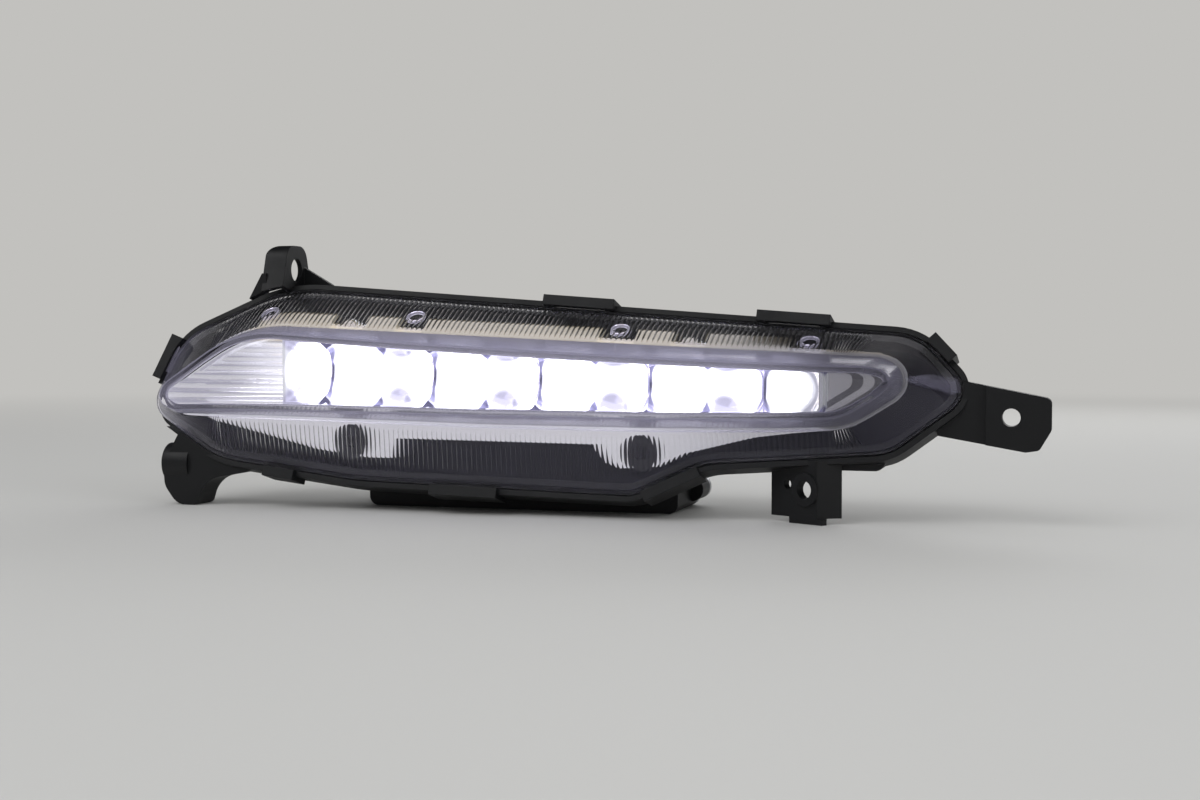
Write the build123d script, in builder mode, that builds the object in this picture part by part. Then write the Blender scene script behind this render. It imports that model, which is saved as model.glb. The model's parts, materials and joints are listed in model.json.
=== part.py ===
from build123d import *
from math import atan2, cos, degrees, hypot, radians, sin, tan
import os

# Car daytime running light. X runs along the lamp, -Y is the lit front, +Z is up,
# and Z = 0 is the surface that the lamp stands on. All sizes are in millimetres.

# General
WALL = 2.5
CLEARANCE = 0.3
SLACK = 0.1
SMALLEST_RADIUS = 0.4

# Rim plane: the seam between lens and housing leans back by this angle
RIM_LEAN = 14.5
RIM_LOW_Y = -23.0
RIM_LOW_Z = 10.0

# Edge of the lens in the rim plane: along the lamp, up the plane, corner radius
LENS_EDGE = [
    (-128.0, 85.1, 60.0),
    (-175.5, 63.5, 25.0),
    (-187.5, 32.0, 10.0),
    (-153.0, 10.8, 45.0),
    (-88.0, 2.7, 140.0),
    (30.0, -0.7, 18.0),
    (58.0, 12.7, 30.0),
    (129.0, 17.8, 20.0),
    (160.0, 41.8, 10.0),
    (139.0, 64.5, 24.0),
]

# Window of the lens, seen from the front: along the lamp, height, corner radius
WINDOW = [
    (-133.0, 71.6, 55.0),
    (-155.0, 57.8, 40.0),
    (-174.6, 44.9, 2.4),
    (-110.0, 43.9, 300.0),
    (-30.0, 42.0, 600.0),
    (40.0, 41.5, 600.0),
    (85.0, 42.1, 400.0),
    (113.0, 43.2, 22.0),
    (132.5, 55.3, 3.0),
    (126.0, 59.0, 6.0),
]

# Outer lens
LENS_WALL = 2.4
LENS_FRONT_Y = -46.6
WINDOW_DRAW = 4.0
FLANK_FOOT_Y = -26.0
FLANK_FLARE = 5.5
BRIM_STAND = 1.0
LEG_DEPTH = 6.5
FRONT_APEX_X = 21.0
FRONT_RADIUS = 1420.0
CROWN_RADIUS = 260.0
CROWN_Z = 54.0
LUG_REACH = 3.0
LUG_THICKNESS = 1.4

# Housing shell, and the groove that takes the lens
RIM_OUT = 2.5
RIM_DEPTH = 11.0
GROOVE_DEPTH = 8.0
SHELL_DEPTH = 36.0
SHELL_DRAFT = 3.0

# Snap clips: side of the lens edge, distance along that side, length
CLIPS = [
    (9, 137.0, 30.0),
    (9, 49.0, 29.0),
    (8, 21.0, 12.0),
    (1, 11.0, 20.0),
    (3, 31.0, 14.0),
    (4, 48.0, 29.0),
    (5, 16.0, 24.0),
]
CLIP_PROUD = 2.0
CLIP_DEPTH = 9.0
CLIP_RISE = 3.4
CLIP_ARM = 4.0

# Gap in the rim that shows the lens's left tip: its end along the lamp, middle and height up the plane
TIP_GAP_X = -165.0
TIP_GAP_RISE = 33.5
TIP_GAP_HEIGHT = 19.0

# Rear box for the driver
BOX_LEFT_X = -93.0
BOX_RIGHT_X = 42.0
BOX_FRONT_Y = 2.0
BOX_BACK_Y = 38.0
BOX_TOP_Z = 52.0
BOX_CORNER = 4.0
COVER_LUG_RADIUS = 5.0
COVER_LUG_DEPTH = 12.0
COVER_LUG_INSET = 8.0

# Upper-left ear: a fin across the lamp with a rim along its front and top
EAR_X = -127.0
EAR_WIDTH = 10.0
EAR_WEB = 2.0
EAR_RIM = 2.6
EAR_FRONT_Y = -9.0
EAR_BACK_Y = 15.0
EAR_TOP_Z = 110.6
EAR_ROOT_Z = 84.0
EAR_LEAN = 4.0
EAR_ROUND = 7.0
EAR_HOLE_RADIUS = 5.0
EAR_HOLE_Y = 2.6
EAR_HOLE_Z = 100.2
EAR_SIDE_ROUND = 4.5
# Gussets of the ear: its side, middle in depth, reach along the lamp, top and foot in height
EAR_GUSSET = 2.6
EAR_GUSSETS = [(EAR_X, 11.0, 13.0, 101.5, 94.0), (EAR_X - EAR_WIDTH, -8.6, -6.0, 98.5, 88.0)]

# Left foot
FOOT_FRONT_Y = -20.0
FOOT_DEPTH = 14.0
FOOT_SHAPE = [
    (-171.0, 32.0),
    (-179.2, 17.0),
    (-178.6, 8.0),
    (-172.6, 0.0),
    (-163.0, 0.0),
    (-160.0, 11.0),
    (-140.0, 14.5),
    (-126.0, 21.0),
]
FOOT_ROUNDS = [14.0, 8.0, 8.0, 2.5, 12.0, 12.0]
FOOT_BOSS_RADIUS = 8.5
FOOT_BOSS_Z = 17.5
FOOT_BOSS_LENGTH = 12.0

# Lower-right tab: a bent plate with a bolt hole and a locating hole
TAB_TURN = 30.0
TAB_CREASE_X = 102.0
TAB_CREASE_Y = -21.6
TAB_LENGTH = 22.5
TAB_RETURN_X = 110.8
TAB_RETURN_Y = -16.5
TAB_PLATE = 3.0
TAB_TOP_Z = 24.5
TAB_BOTTOM_Z = 2.4
TAB_LIP_LENGTH = 16.0
TAB_HOLE_RADIUS = 3.5
TAB_HOLE_FROM_CREASE = 5.6
TAB_HOLE_Z = 13.2
TAB_BOSS_RADIUS = 6.4
TAB_BOSS_PROUD = 1.0
LOCATING_HOLE_RADIUS = 1.8
LOCATING_HOLE_FROM_CREASE = 14.4
LOCATING_HOLE_Z = 14.9

# Block that ties the lower-right tab to the rim
BLOCK_LEFT_X = 107.0
BLOCK_RIGHT_X = 127.0
BLOCK_BOTTOM_Z = 20.6
BLOCK_TOP_Z = 33.0
BLOCK_FRONT_Y = -15.0
BLOCK_BACK_Y = -3.0
BLOCK_ROUND = 4.0

# Right arm with a thicker pad at its bolt hole
ARM_SHAPE = [
    (146.0, 57.0),
    (146.0, 34.4),
    (178.5, 28.8),
    (183.4, 29.6),
    (187.7, 37.0),
    (187.7, 48.8),
]
ARM_ROUNDS = [1.0, 1.0, 2.0, 2.0, 2.5, 2.5]
ARM_FRONT_Y = -13.0
ARM_BACK_Y = -8.0
PAD_LEFT_X = 164.0
PAD_PROUD = 2.5
ARM_HOLE_RADIUS = 3.4
ARM_HOLE_X = 173.2
ARM_HOLE_Z = 41.7

# Breather spigot on the shell's back: along the lamp, up the plane
SPIGOT_PLACE = (92.0, 40.0)
SPIGOT_RADIUS = 4.0
SPIGOT_BORE = 2.2
SPIGOT_LENGTH = 7.0
CAP_WALL = 2.4

# Bezel behind the lens
MOUTH_MARGIN = 1.0
RING_WALL = 1.8
RING_FRONT_Y = -23.0
RING_BACK_Y = -12.0
PLATE_FRONT_Y = -16.0
PLATE_WALL = 2.0
PLATE_REACH = 3.6
# Upper lip: a strip behind the brim, and the gaps in it by middle and width
LIP_STAND = 0.8
LIP_WALL = 1.6
LIP_RISE = 8.8
LIP_BOTTOM_Z = 58.0
LIP_GAPS = [(-158.0, 50.0), (-92.8, 15.0), (-65.2, 12.0), (22.4, 15.0), (51.4, 14.0), (125.0, 68.0)]
# Lower edge of the skirt, with the cut-out between the two screws
SKIRT = [
    (-160.0, 46.0),
    (-159.0, 38.0),
    (-138.0, 32.7),
    (-107.0, 24.9),
    (-84.0, 21.8),
    (-73.5, 21.8),
    (-71.5, 30.0),
    (12.5, 29.0),
    (18.5, 21.8),
    (24.0, 19.6),
    (38.0, 20.6),
    (50.0, 26.4),
    (77.5, 33.4),
    (108.0, 37.5),
    (108.0, 46.0),
]
BEZEL_SCREW_PLACES = [(-91.9, 28.6), (31.7, 26.0)]
BEZEL_SCREW_LENGTH = 10.0
BEZEL_FLANGE_RADIUS = 7.4
BEZEL_FLANGE_WALL = 1.2
BEZEL_POST_RADIUS = 5.0

# Fluted wing at the bezel's left end, swept round an upright axis
WING_RADIUS = 120.0
WING_AXIS_X = -105.0
WING_AXIS_Y = -131.0
WING_ARC = 40.0
WING_WALL = 2.5
WING_GAP = 0.9
WING_BOTTOM_Z = 42.0
FLUTE_PITCH = 3.6
FLUTE_DEPTH = 0.7
FLUTE_COUNT = 10

# Stepped right end of the bezel
END_GAP = 0.8
END_FRONT_Y = -28.0
END_STEPS = 4
END_STEP_WIDTH = 4.6
END_STEP_DEPTH = 3.2
END_FIRST_STEP = 2.0

# Row of lamps: its line falls slightly to the right
ROW_FALL = 1.66
ROW_MIDDLE_X = -11.6
ROW_MIDDLE_Z = 54.4
LED_COUNT = 10
LED_PITCH = 22.8

# Reflector
REFLECTOR_FRONT_Y = -23.0
REFLECTOR_BACK_Y = -7.0
REFLECTOR_LEFT_MARGIN = 6.4
REFLECTOR_RIGHT_MARGIN = 13.4
WIDE_RADIUS = 16.5
NARROW_RADIUS = 13.5
BOWL_WALL = 1.9
SIDE_WALL = 1.3
SEAT_REACH = 2.4
SEAT_WALL = 2.0
SEAT_LUG_RADIUS = 3.0
SEAT_LUG_STAND = 2.9
# Screws that hold the reflector: side of the window, place along the lamp
SEAT_SCREWS = [(9, -92.8), (9, 51.4), (3, -52.0), (6, 88.0)]
SEAT_SCREW_LENGTH = 5.4
LED_WINDOW = 5.4
POST_RADIUS = 3.2
POST_RISE = 9.0
POST_LENGTH = 4.4
# Posts for the board's screws, in steps of the lamp pitch
POST_STEPS = [-4.0, -1.0, 1.0, 4.0]

# Lamp board, pad and heat sink
BOARD_HEIGHT = 23.0
BOARD_WALL = 1.6
BOARD_EDGE = 2.5
BOARD_CORNER = 2.0
LED_SIZE = 3.6
LED_HEIGHT = 0.8
LED_CORNER = 0.5
DOME_RADIUS = 1.4
THERMAL_PAD_WALL = 0.5
SINK_MARGIN = 4.4
SINK_WALL = 3.0
SINK_FIN_COUNT = 5
SINK_FIN_PITCH = 2.6
SINK_FIN_WALL = 1.1
SINK_FIN_HEIGHT = 9.0

# Lead from the driver to the lamp board
HEADER_LENGTH = 10.0
HEADER_WIDTH = 8.0
HEADER_HEIGHT = 6.0
HEADER_GAP = 7.0
LEAD_RADIUS = 2.2
LEAD_X = 10.0
LEAD_Z = 33.0
LEAD_GAP = 2.7
LEAD_BEND = 4.5
GROMMET_RADIUS = 4.0
GROMMET_PROUD = 2.8
GROMMET_LIP = 0.8

# Rear cover and its gasket
GASKET_WALL = 1.0
COVER_WALL = 3.0
COVER_POST_LENGTH = 4.4
COVER_POST_RADIUS = 3.5
COVER_POST_INSET = 5.0
COVER_FIN_COUNT = 12
COVER_FIN_PITCH = 4.6
COVER_FIN_WALL = 2.0
COVER_FIN_HEIGHT = 4.6
COVER_FIN_INSET = 6.0
COVER_FIN_EDGE = 6.7

# Driver board and what stands on it: places from the board's middle, along the lamp and up
DRIVER_WALL = 1.6
DRIVER_GAP = 3.0
CHIP_PLACE = (16.5, 7.0)
CHIP_SIZE = 10.0
CHIP_HEIGHT = 1.6
COIL_PLACE = (0.5, -11.0)
COIL_SIZE = 12.0
COIL_HEIGHT = 7.0
COIL_CORNER = 2.0
MOSFET_PLACES = [(-44.5, 12.0), (-34.5, 12.0), (-24.5, 12.0), (-14.5, 12.0)]
MOSFET_LENGTH = 6.5
MOSFET_WIDTH = 6.0
MOSFET_HEIGHT = 2.3
CAPACITOR_PLACES = [(17.5, -12.0), (28.5, -12.0), (39.5, -12.0)]
CAPACITOR_RADIUS = 4.0
CAPACITOR_HEIGHT = 9.0
CAPACITOR_ROUND = 0.6

# Connector for the car's harness
SOCKET_FROM_LEFT = 35.0
SOCKET_LENGTH = 26.0
SOCKET_HEIGHT = 16.0
SOCKET_WALL = 2.0
SOCKET_CORNER = 2.0
SOCKET_FLANGE = 2.5
SOCKET_DEPTH = 9.0
PIN_COUNT = 4
PIN_PITCH = 4.5
PIN_RADIUS = 0.7
PIN_SETBACK = 3.0
PIN_TAIL = 1.4

# Screws
SCREW_RADIUS = 1.5
SCREW_HEAD_RADIUS = 2.6
SCREW_HEAD_HEIGHT = 2.2
SCREW_SOCKET = 1.7
SCREW_SOCKET_DEPTH = 1.2
SCREW_HOLE = SCREW_RADIUS + SLACK


def grown(corners, amount):
    """Corners of an anticlockwise outline moved outwards by amount, radii included."""
    normals = []
    for index, (x, y, _) in enumerate(corners):
        next_x, next_y, _ = corners[(index + 1) % len(corners)]
        length = hypot(next_x - x, next_y - y)
        normals.append(((next_y - y) / length, (x - next_x) / length))
    moved = []
    for index, (x, y, radius) in enumerate(corners):
        before = normals[index - 1]
        after = normals[index]
        share = amount / (1 + before[0] * after[0] + before[1] * after[1])
        bulges = before[0] * after[1] > before[1] * after[0]
        new_radius = max(SMALLEST_RADIUS, radius + (amount if bulges else -amount))
        moved.append((x + (before[0] + after[0]) * share, y + (before[1] + after[1]) * share, new_radius))
    return moved


def outline(corners):
    """Flat face inside a closed outline with round corners."""
    with BuildSketch() as flat:
        with BuildLine():
            FilletPolyline([c[:2] for c in corners], radius=[c[2] for c in corners], close=True)
        make_face()
    return flat.sketch


def on_side(corners, side, along):
    """Place on one side of an outline, turned so that its own Y points outwards."""
    x, y, _ = corners[side]
    next_x, next_y, _ = corners[(side + 1) % len(corners)]
    length = hypot(next_x - x, next_y - y)
    run = ((next_x - x) / length, (next_y - y) / length)
    heading = degrees(atan2(run[1], run[0]))
    return Location((x + run[0] * along, y + run[1] * along, 0), (0, 0, heading + 180))


def beside(corners, side, x, stand):
    """Point that stands off one side of an outline by stand, at x along the lamp."""
    moved = grown(corners, stand)
    start_x, start_z, _ = moved[side]
    end_x, end_z, _ = moved[(side + 1) % len(moved)]
    return (x, start_z + (end_z - start_z) * (x - start_x) / (end_x - start_x))


def at_y(y):
    """Upright plane across the lamp's depth, drawn in X and Z, that faces the front."""
    return Plane.XZ.offset(-y)


def seen_from_back(y):
    """Upright plane across the lamp's depth that faces the back, drawn in -X and Z."""
    return Plane(origin=(0, y, 0), x_dir=(-1, 0, 0), z_dir=(0, 1, 0))


def screw(length):
    """Pan-head screw with a hexagonal socket: head up from Z = 0, shank down."""
    with BuildPart() as made:
        Cylinder(SCREW_HEAD_RADIUS, SCREW_HEAD_HEIGHT, align=(Align.CENTER, Align.CENTER, Align.MIN))
        fillet(made.edges().sort_by(Axis.Z)[-1], SCREW_HEAD_HEIGHT * 0.4)
        with BuildSketch(Plane.XY.offset(SCREW_HEAD_HEIGHT)):
            RegularPolygon(SCREW_SOCKET, 6)
        extrude(amount=-SCREW_SOCKET_DEPTH, mode=Mode.SUBTRACT)
        Cylinder(SCREW_RADIUS, length, align=(Align.CENTER, Align.CENTER, Align.MAX))
    return made.part


# Planes, places and outlines that follow from the sizes above
RIM_PLANE = Plane(
    origin=(0, RIM_LOW_Y, RIM_LOW_Z),
    x_dir=(1, 0, 0),
    z_dir=(0, -cos(radians(RIM_LEAN)), sin(radians(RIM_LEAN))),
)
SHELL_BACK = RIM_PLANE.offset(-SHELL_DEPTH)
REACH = max(x for x, _, _ in LENS_EDGE) - min(x for x, _, _ in LENS_EDGE)
ROW_PLANE = Plane(
    origin=(ROW_MIDDLE_X, REFLECTOR_BACK_Y, ROW_MIDDLE_Z),
    x_dir=(cos(radians(ROW_FALL)), 0, -sin(radians(ROW_FALL))),
    z_dir=(0, -1, 0),
)
BOARD_BACK = ROW_PLANE.offset(-BOARD_WALL)
THERMAL_PAD_BACK = BOARD_BACK.offset(-THERMAL_PAD_WALL)
SINK_BACK = THERMAL_PAD_BACK.offset(-SINK_WALL)
ROW_LENGTH = (LED_COUNT - 1) * LED_PITCH
REFLECTOR_LEFT_X = ROW_MIDDLE_X - ROW_LENGTH / 2 - REFLECTOR_LEFT_MARGIN
REFLECTOR_RIGHT_X = ROW_MIDDLE_X + ROW_LENGTH / 2 + REFLECTOR_RIGHT_MARGIN
SINK_LENGTH = ROW_LENGTH + 2 * SINK_MARGIN
HEADER_X = SINK_LENGTH / 2 + HEADER_GAP + HEADER_LENGTH / 2
BOARD_LEFT = -SINK_LENGTH / 2 - BOARD_EDGE
BOARD_RIGHT = HEADER_X + HEADER_LENGTH / 2 + BOARD_EDGE
LEAD_START = (BOARD_BACK * Pos(HEADER_X, 0, -HEADER_HEIGHT)).position
LEAD_RUN_Y = SINK_BACK.origin.Y + SINK_FIN_HEIGHT + LEAD_GAP + LEAD_RADIUS
LEAD_WALL_Y = SHELL_BACK.origin.Y + (LEAD_Z - SHELL_BACK.origin.Z) * tan(radians(RIM_LEAN))
FLANK_FOOT = grown(WINDOW, FLANK_FLARE)
WINDOW_PLANE_Y = LENS_FRONT_Y - WINDOW_DRAW
MOUTH = grown(WINDOW, MOUTH_MARGIN)
PLATE_BACK_Y = PLATE_FRONT_Y + PLATE_WALL
SEAT_BACK_Y = RING_BACK_Y + SEAT_WALL
SEAT_SCREW_PLACES = [beside(MOUTH, side, x, SEAT_LUG_STAND) for side, x in SEAT_SCREWS]
LED_PLACES = [(index * LED_PITCH - ROW_LENGTH / 2, 0) for index in range(LED_COUNT)]
POST_PLACES = [(step * LED_PITCH, side * POST_RISE) for step in POST_STEPS for side in (-1, 1)]


# Outer lens: a raised window on a sloping brim, with a leg that stands in the housing's groove
def front_body(setback):
    """Everything behind the lens's crowned front face, moved back by setback."""
    front_y = LENS_FRONT_Y + setback
    crown = CROWN_RADIUS - setback
    half = CROWN_RADIUS * 0.4
    sag = crown - (crown**2 - half**2) ** 0.5
    with BuildPart() as body:
        with BuildSketch(Plane.YZ.offset(FRONT_APEX_X)):
            with BuildLine():
                ThreePointArc(
                    (front_y + sag, CROWN_Z - half),
                    (front_y, CROWN_Z),
                    (front_y + sag, CROWN_Z + half),
                )
                Polyline(
                    (front_y + sag, CROWN_Z + half),
                    (BOX_BACK_Y, CROWN_Z + half),
                    (BOX_BACK_Y, CROWN_Z - half),
                    (front_y + sag, CROWN_Z - half),
                )
            make_face()
        revolve(axis=Axis((FRONT_APEX_X, LENS_FRONT_Y + FRONT_RADIUS, 0), (0, 0, 1)))
    return body.part


def brim_body(inset):
    """Solid form under the lens's sloping brim, with its faces moved inwards by inset."""
    with BuildPart() as body:
        with BuildSketch(RIM_PLANE.offset(BRIM_STAND - inset)):
            add(outline(grown(LENS_EDGE, -inset)))
        with BuildSketch(at_y(FLANK_FOOT_Y + inset)):
            add(outline(grown(FLANK_FOOT, -inset)))
        loft(ruled=True)
    return body.part


def lens_body(inset):
    """Solid form of the lens with its faces moved inwards by inset, down to the foot of its leg."""
    crowned = front_body(inset)
    brim = brim_body(inset)
    with BuildPart() as body:
        with BuildSketch(at_y(FLANK_FOOT_Y + inset)):
            add(outline(grown(FLANK_FOOT, -inset)))
        with BuildSketch(at_y(WINDOW_PLANE_Y + inset)):
            add(outline(grown(WINDOW, -inset)))
        loft(ruled=True)
        add(crowned, mode=Mode.INTERSECT)
        add(brim)
        with BuildSketch(RIM_PLANE.offset(-LEG_DEPTH)):
            add(outline(grown(LENS_EDGE, -inset)))
        extrude(amount=LEG_DEPTH + BRIM_STAND - inset)
    return body.part


lens_form = lens_body(0)
lens_hollow = lens_body(LENS_WALL)
bezel_room = lens_body(LENS_WALL + CLEARANCE)

with BuildPart() as outer_lens:
    add(lens_form)
    for side, along, length in CLIPS:
        with BuildSketch(RIM_PLANE.offset(CLEARANCE)):
            with Locations(on_side(LENS_EDGE, side, along)):
                Rectangle(length - 2 * CLIP_ARM, 2 * LUG_REACH)
        extrude(amount=LUG_THICKNESS)
    add(lens_hollow, mode=Mode.SUBTRACT)
outer_lens.part.label = "outer_lens"

# Housing, from its separate features
GROOVE_OUT = CLEARANCE
GROOVE_IN = -(LENS_WALL + CLEARANCE)
HOLLOW_IN = GROOVE_IN - WALL
BRIM_FOOT = BRIM_STAND - LENS_WALL - CLEARANCE

with BuildPart() as shell_block:
    with BuildSketch(RIM_PLANE):
        add(outline(grown(LENS_EDGE, RIM_OUT)))
    extrude(amount=-RIM_DEPTH)
    with BuildSketch(RIM_PLANE.offset(-RIM_DEPTH)):
        add(outline(grown(LENS_EDGE, GROOVE_IN)))
    with BuildSketch(SHELL_BACK):
        add(outline(grown(LENS_EDGE, GROOVE_IN - SHELL_DRAFT)))
    loft(ruled=True)

with BuildPart() as shell_hollow:
    with BuildSketch(RIM_PLANE):
        add(outline(grown(LENS_EDGE, HOLLOW_IN)))
    extrude(amount=-RIM_DEPTH)
    with BuildSketch(RIM_PLANE.offset(-RIM_DEPTH)):
        add(outline(grown(LENS_EDGE, HOLLOW_IN)))
    with BuildSketch(SHELL_BACK.offset(WALL)):
        add(outline(grown(LENS_EDGE, HOLLOW_IN - SHELL_DRAFT)))
    loft(ruled=True)

BOX_LENGTH = BOX_RIGHT_X - BOX_LEFT_X
BOX_DEPTH = BOX_BACK_Y - BOX_FRONT_Y
BOX_MIDDLE = ((BOX_LEFT_X + BOX_RIGHT_X) / 2, BOX_TOP_Z / 2)
COVER_SCREW_PLACES = [
    (x, z) for x in (BOX_LEFT_X, BOX_RIGHT_X) for z in (COVER_LUG_INSET, BOX_TOP_Z - COVER_LUG_INSET)
]

with BuildPart() as rear_box:
    with BuildSketch(at_y(BOX_BACK_Y)):
        with Locations(BOX_MIDDLE):
            RectangleRounded(BOX_LENGTH, BOX_TOP_Z, BOX_CORNER)
    extrude(amount=BOX_DEPTH)
    with BuildSketch(at_y(BOX_BACK_Y)):
        with Locations(BOX_MIDDLE):
            RectangleRounded(BOX_LENGTH - 2 * WALL, BOX_TOP_Z - 2 * WALL, BOX_CORNER - WALL)
    extrude(amount=BOX_DEPTH - WALL, mode=Mode.SUBTRACT)
    with BuildSketch(at_y(BOX_BACK_Y)):
        with Locations(COVER_SCREW_PLACES):
            Circle(COVER_LUG_RADIUS)
    extrude(amount=COVER_LUG_DEPTH)
    with BuildSketch(at_y(BOX_BACK_Y)):
        with Locations(COVER_SCREW_PLACES):
            Circle(SCREW_HOLE)
    extrude(amount=COVER_LUG_DEPTH - WALL, mode=Mode.SUBTRACT)

with BuildPart() as ear:
    with BuildSketch(Plane.YZ.offset(EAR_X)):
        with BuildLine():
            FilletPolyline(
                (EAR_FRONT_Y - EAR_LEAN, EAR_ROOT_Z),
                (EAR_BACK_Y + EAR_LEAN, EAR_ROOT_Z),
                (EAR_BACK_Y - EAR_LEAN, EAR_TOP_Z),
                (EAR_FRONT_Y + EAR_LEAN, EAR_TOP_Z),
                radius=[0, 0, EAR_ROUND, EAR_ROUND],
                close=True,
            )
        make_face()
    extrude(amount=-EAR_WIDTH)
    with BuildSketch(Plane.YZ.offset(EAR_X - EAR_WIDTH)):
        with BuildLine():
            FilletPolyline(
                (EAR_FRONT_Y - EAR_LEAN + EAR_RIM, EAR_ROOT_Z),
                (EAR_BACK_Y + EAR_LEAN + EAR_RIM, EAR_ROOT_Z),
                (EAR_BACK_Y + EAR_LEAN + EAR_RIM, EAR_TOP_Z - EAR_RIM),
                (EAR_FRONT_Y + EAR_LEAN + EAR_RIM, EAR_TOP_Z - EAR_RIM),
                radius=[0, 0, 0, EAR_ROUND - EAR_RIM],
                close=True,
            )
        make_face()
    extrude(amount=EAR_WIDTH - EAR_WEB, mode=Mode.SUBTRACT)
    with BuildSketch(at_y(EAR_BACK_Y + EAR_LEAN)):
        with BuildLine():
            FilletPolyline(
                (EAR_X, EAR_ROOT_Z),
                (EAR_X, EAR_TOP_Z),
                (EAR_X - EAR_WIDTH, EAR_TOP_Z),
                (EAR_X - EAR_WIDTH, EAR_ROOT_Z),
                radius=[0, 0, EAR_SIDE_ROUND, 0],
                close=True,
            )
        make_face()
    extrude(amount=REACH, mode=Mode.INTERSECT)
    for side_x, middle_y, reach, top_z, foot_z in EAR_GUSSETS:
        root_x = side_x - EAR_WEB if reach > 0 else side_x + EAR_WEB
        with BuildSketch(at_y(middle_y + EAR_GUSSET / 2)):
            with BuildLine():
                Polyline(
                    (root_x, top_z),
                    (side_x, top_z),
                    (side_x + reach, foot_z),
                    (side_x + reach, EAR_ROOT_Z),
                    (root_x, EAR_ROOT_Z),
                    close=True,
                )
            make_face()
        extrude(amount=EAR_GUSSET)

with BuildPart() as foot:
    with BuildSketch(at_y(FOOT_FRONT_Y + FOOT_DEPTH)):
        with BuildLine():
            FilletPolyline(FOOT_SHAPE, radius=[0, *FOOT_ROUNDS, 0], close=True)
        make_face()
    extrude(amount=FOOT_DEPTH)
    with BuildSketch(Plane.YZ.offset(FOOT_SHAPE[1][0])):
        with Locations((FOOT_FRONT_Y + FOOT_DEPTH / 2, FOOT_BOSS_Z)):
            Circle(FOOT_BOSS_RADIUS)
    extrude(amount=FOOT_BOSS_LENGTH)

TAB_PLANE = Plane(
    origin=(TAB_CREASE_X, TAB_CREASE_Y, 0),
    x_dir=(cos(radians(TAB_TURN)), -sin(radians(TAB_TURN)), 0),
    z_dir=(-sin(radians(TAB_TURN)), -cos(radians(TAB_TURN)), 0),
)
TAB_LEFT = (
    TAB_CREASE_X - TAB_LENGTH * cos(radians(TAB_TURN)),
    TAB_CREASE_Y + TAB_LENGTH * sin(radians(TAB_TURN)),
)

with BuildPart() as tab:
    with BuildSketch(Plane.XY.offset(TAB_BOTTOM_Z)):
        with BuildLine():
            bend = Polyline(TAB_LEFT, (TAB_CREASE_X, TAB_CREASE_Y), (TAB_RETURN_X, TAB_RETURN_Y))
        bent_plate = offset(bend, amount=TAB_PLATE, side=Side.LEFT, mode=Mode.PRIVATE)
        make_face(bent_plate.edges())
    extrude(amount=TAB_TOP_Z - TAB_BOTTOM_Z)
    with BuildSketch(TAB_PLANE):
        with Locations((-TAB_HOLE_FROM_CREASE, TAB_HOLE_Z)):
            Circle(TAB_BOSS_RADIUS)
    extrude(amount=TAB_BOSS_PROUD)
    with BuildSketch(TAB_PLANE):
        with Locations((-TAB_HOLE_FROM_CREASE, TAB_BOTTOM_Z)):
            Rectangle(TAB_LIP_LENGTH, TAB_BOTTOM_Z, align=(Align.CENTER, Align.MAX))
    extrude(amount=-TAB_PLATE)

# Posts inside the shell that the bezel is screwed to
with BuildPart() as bezel_posts:
    with BuildSketch(at_y(BOX_BACK_Y)):
        with Locations(BEZEL_SCREW_PLACES):
            Circle(BEZEL_POST_RADIUS)
    extrude(amount=BOX_BACK_Y - PLATE_BACK_Y)
    add(shell_block.part, mode=Mode.INTERSECT)
    with BuildSketch(at_y(PLATE_BACK_Y)):
        with Locations(BEZEL_SCREW_PLACES):
            Circle(SCREW_HOLE)
    extrude(amount=-BEZEL_SCREW_LENGTH, mode=Mode.SUBTRACT)

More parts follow.
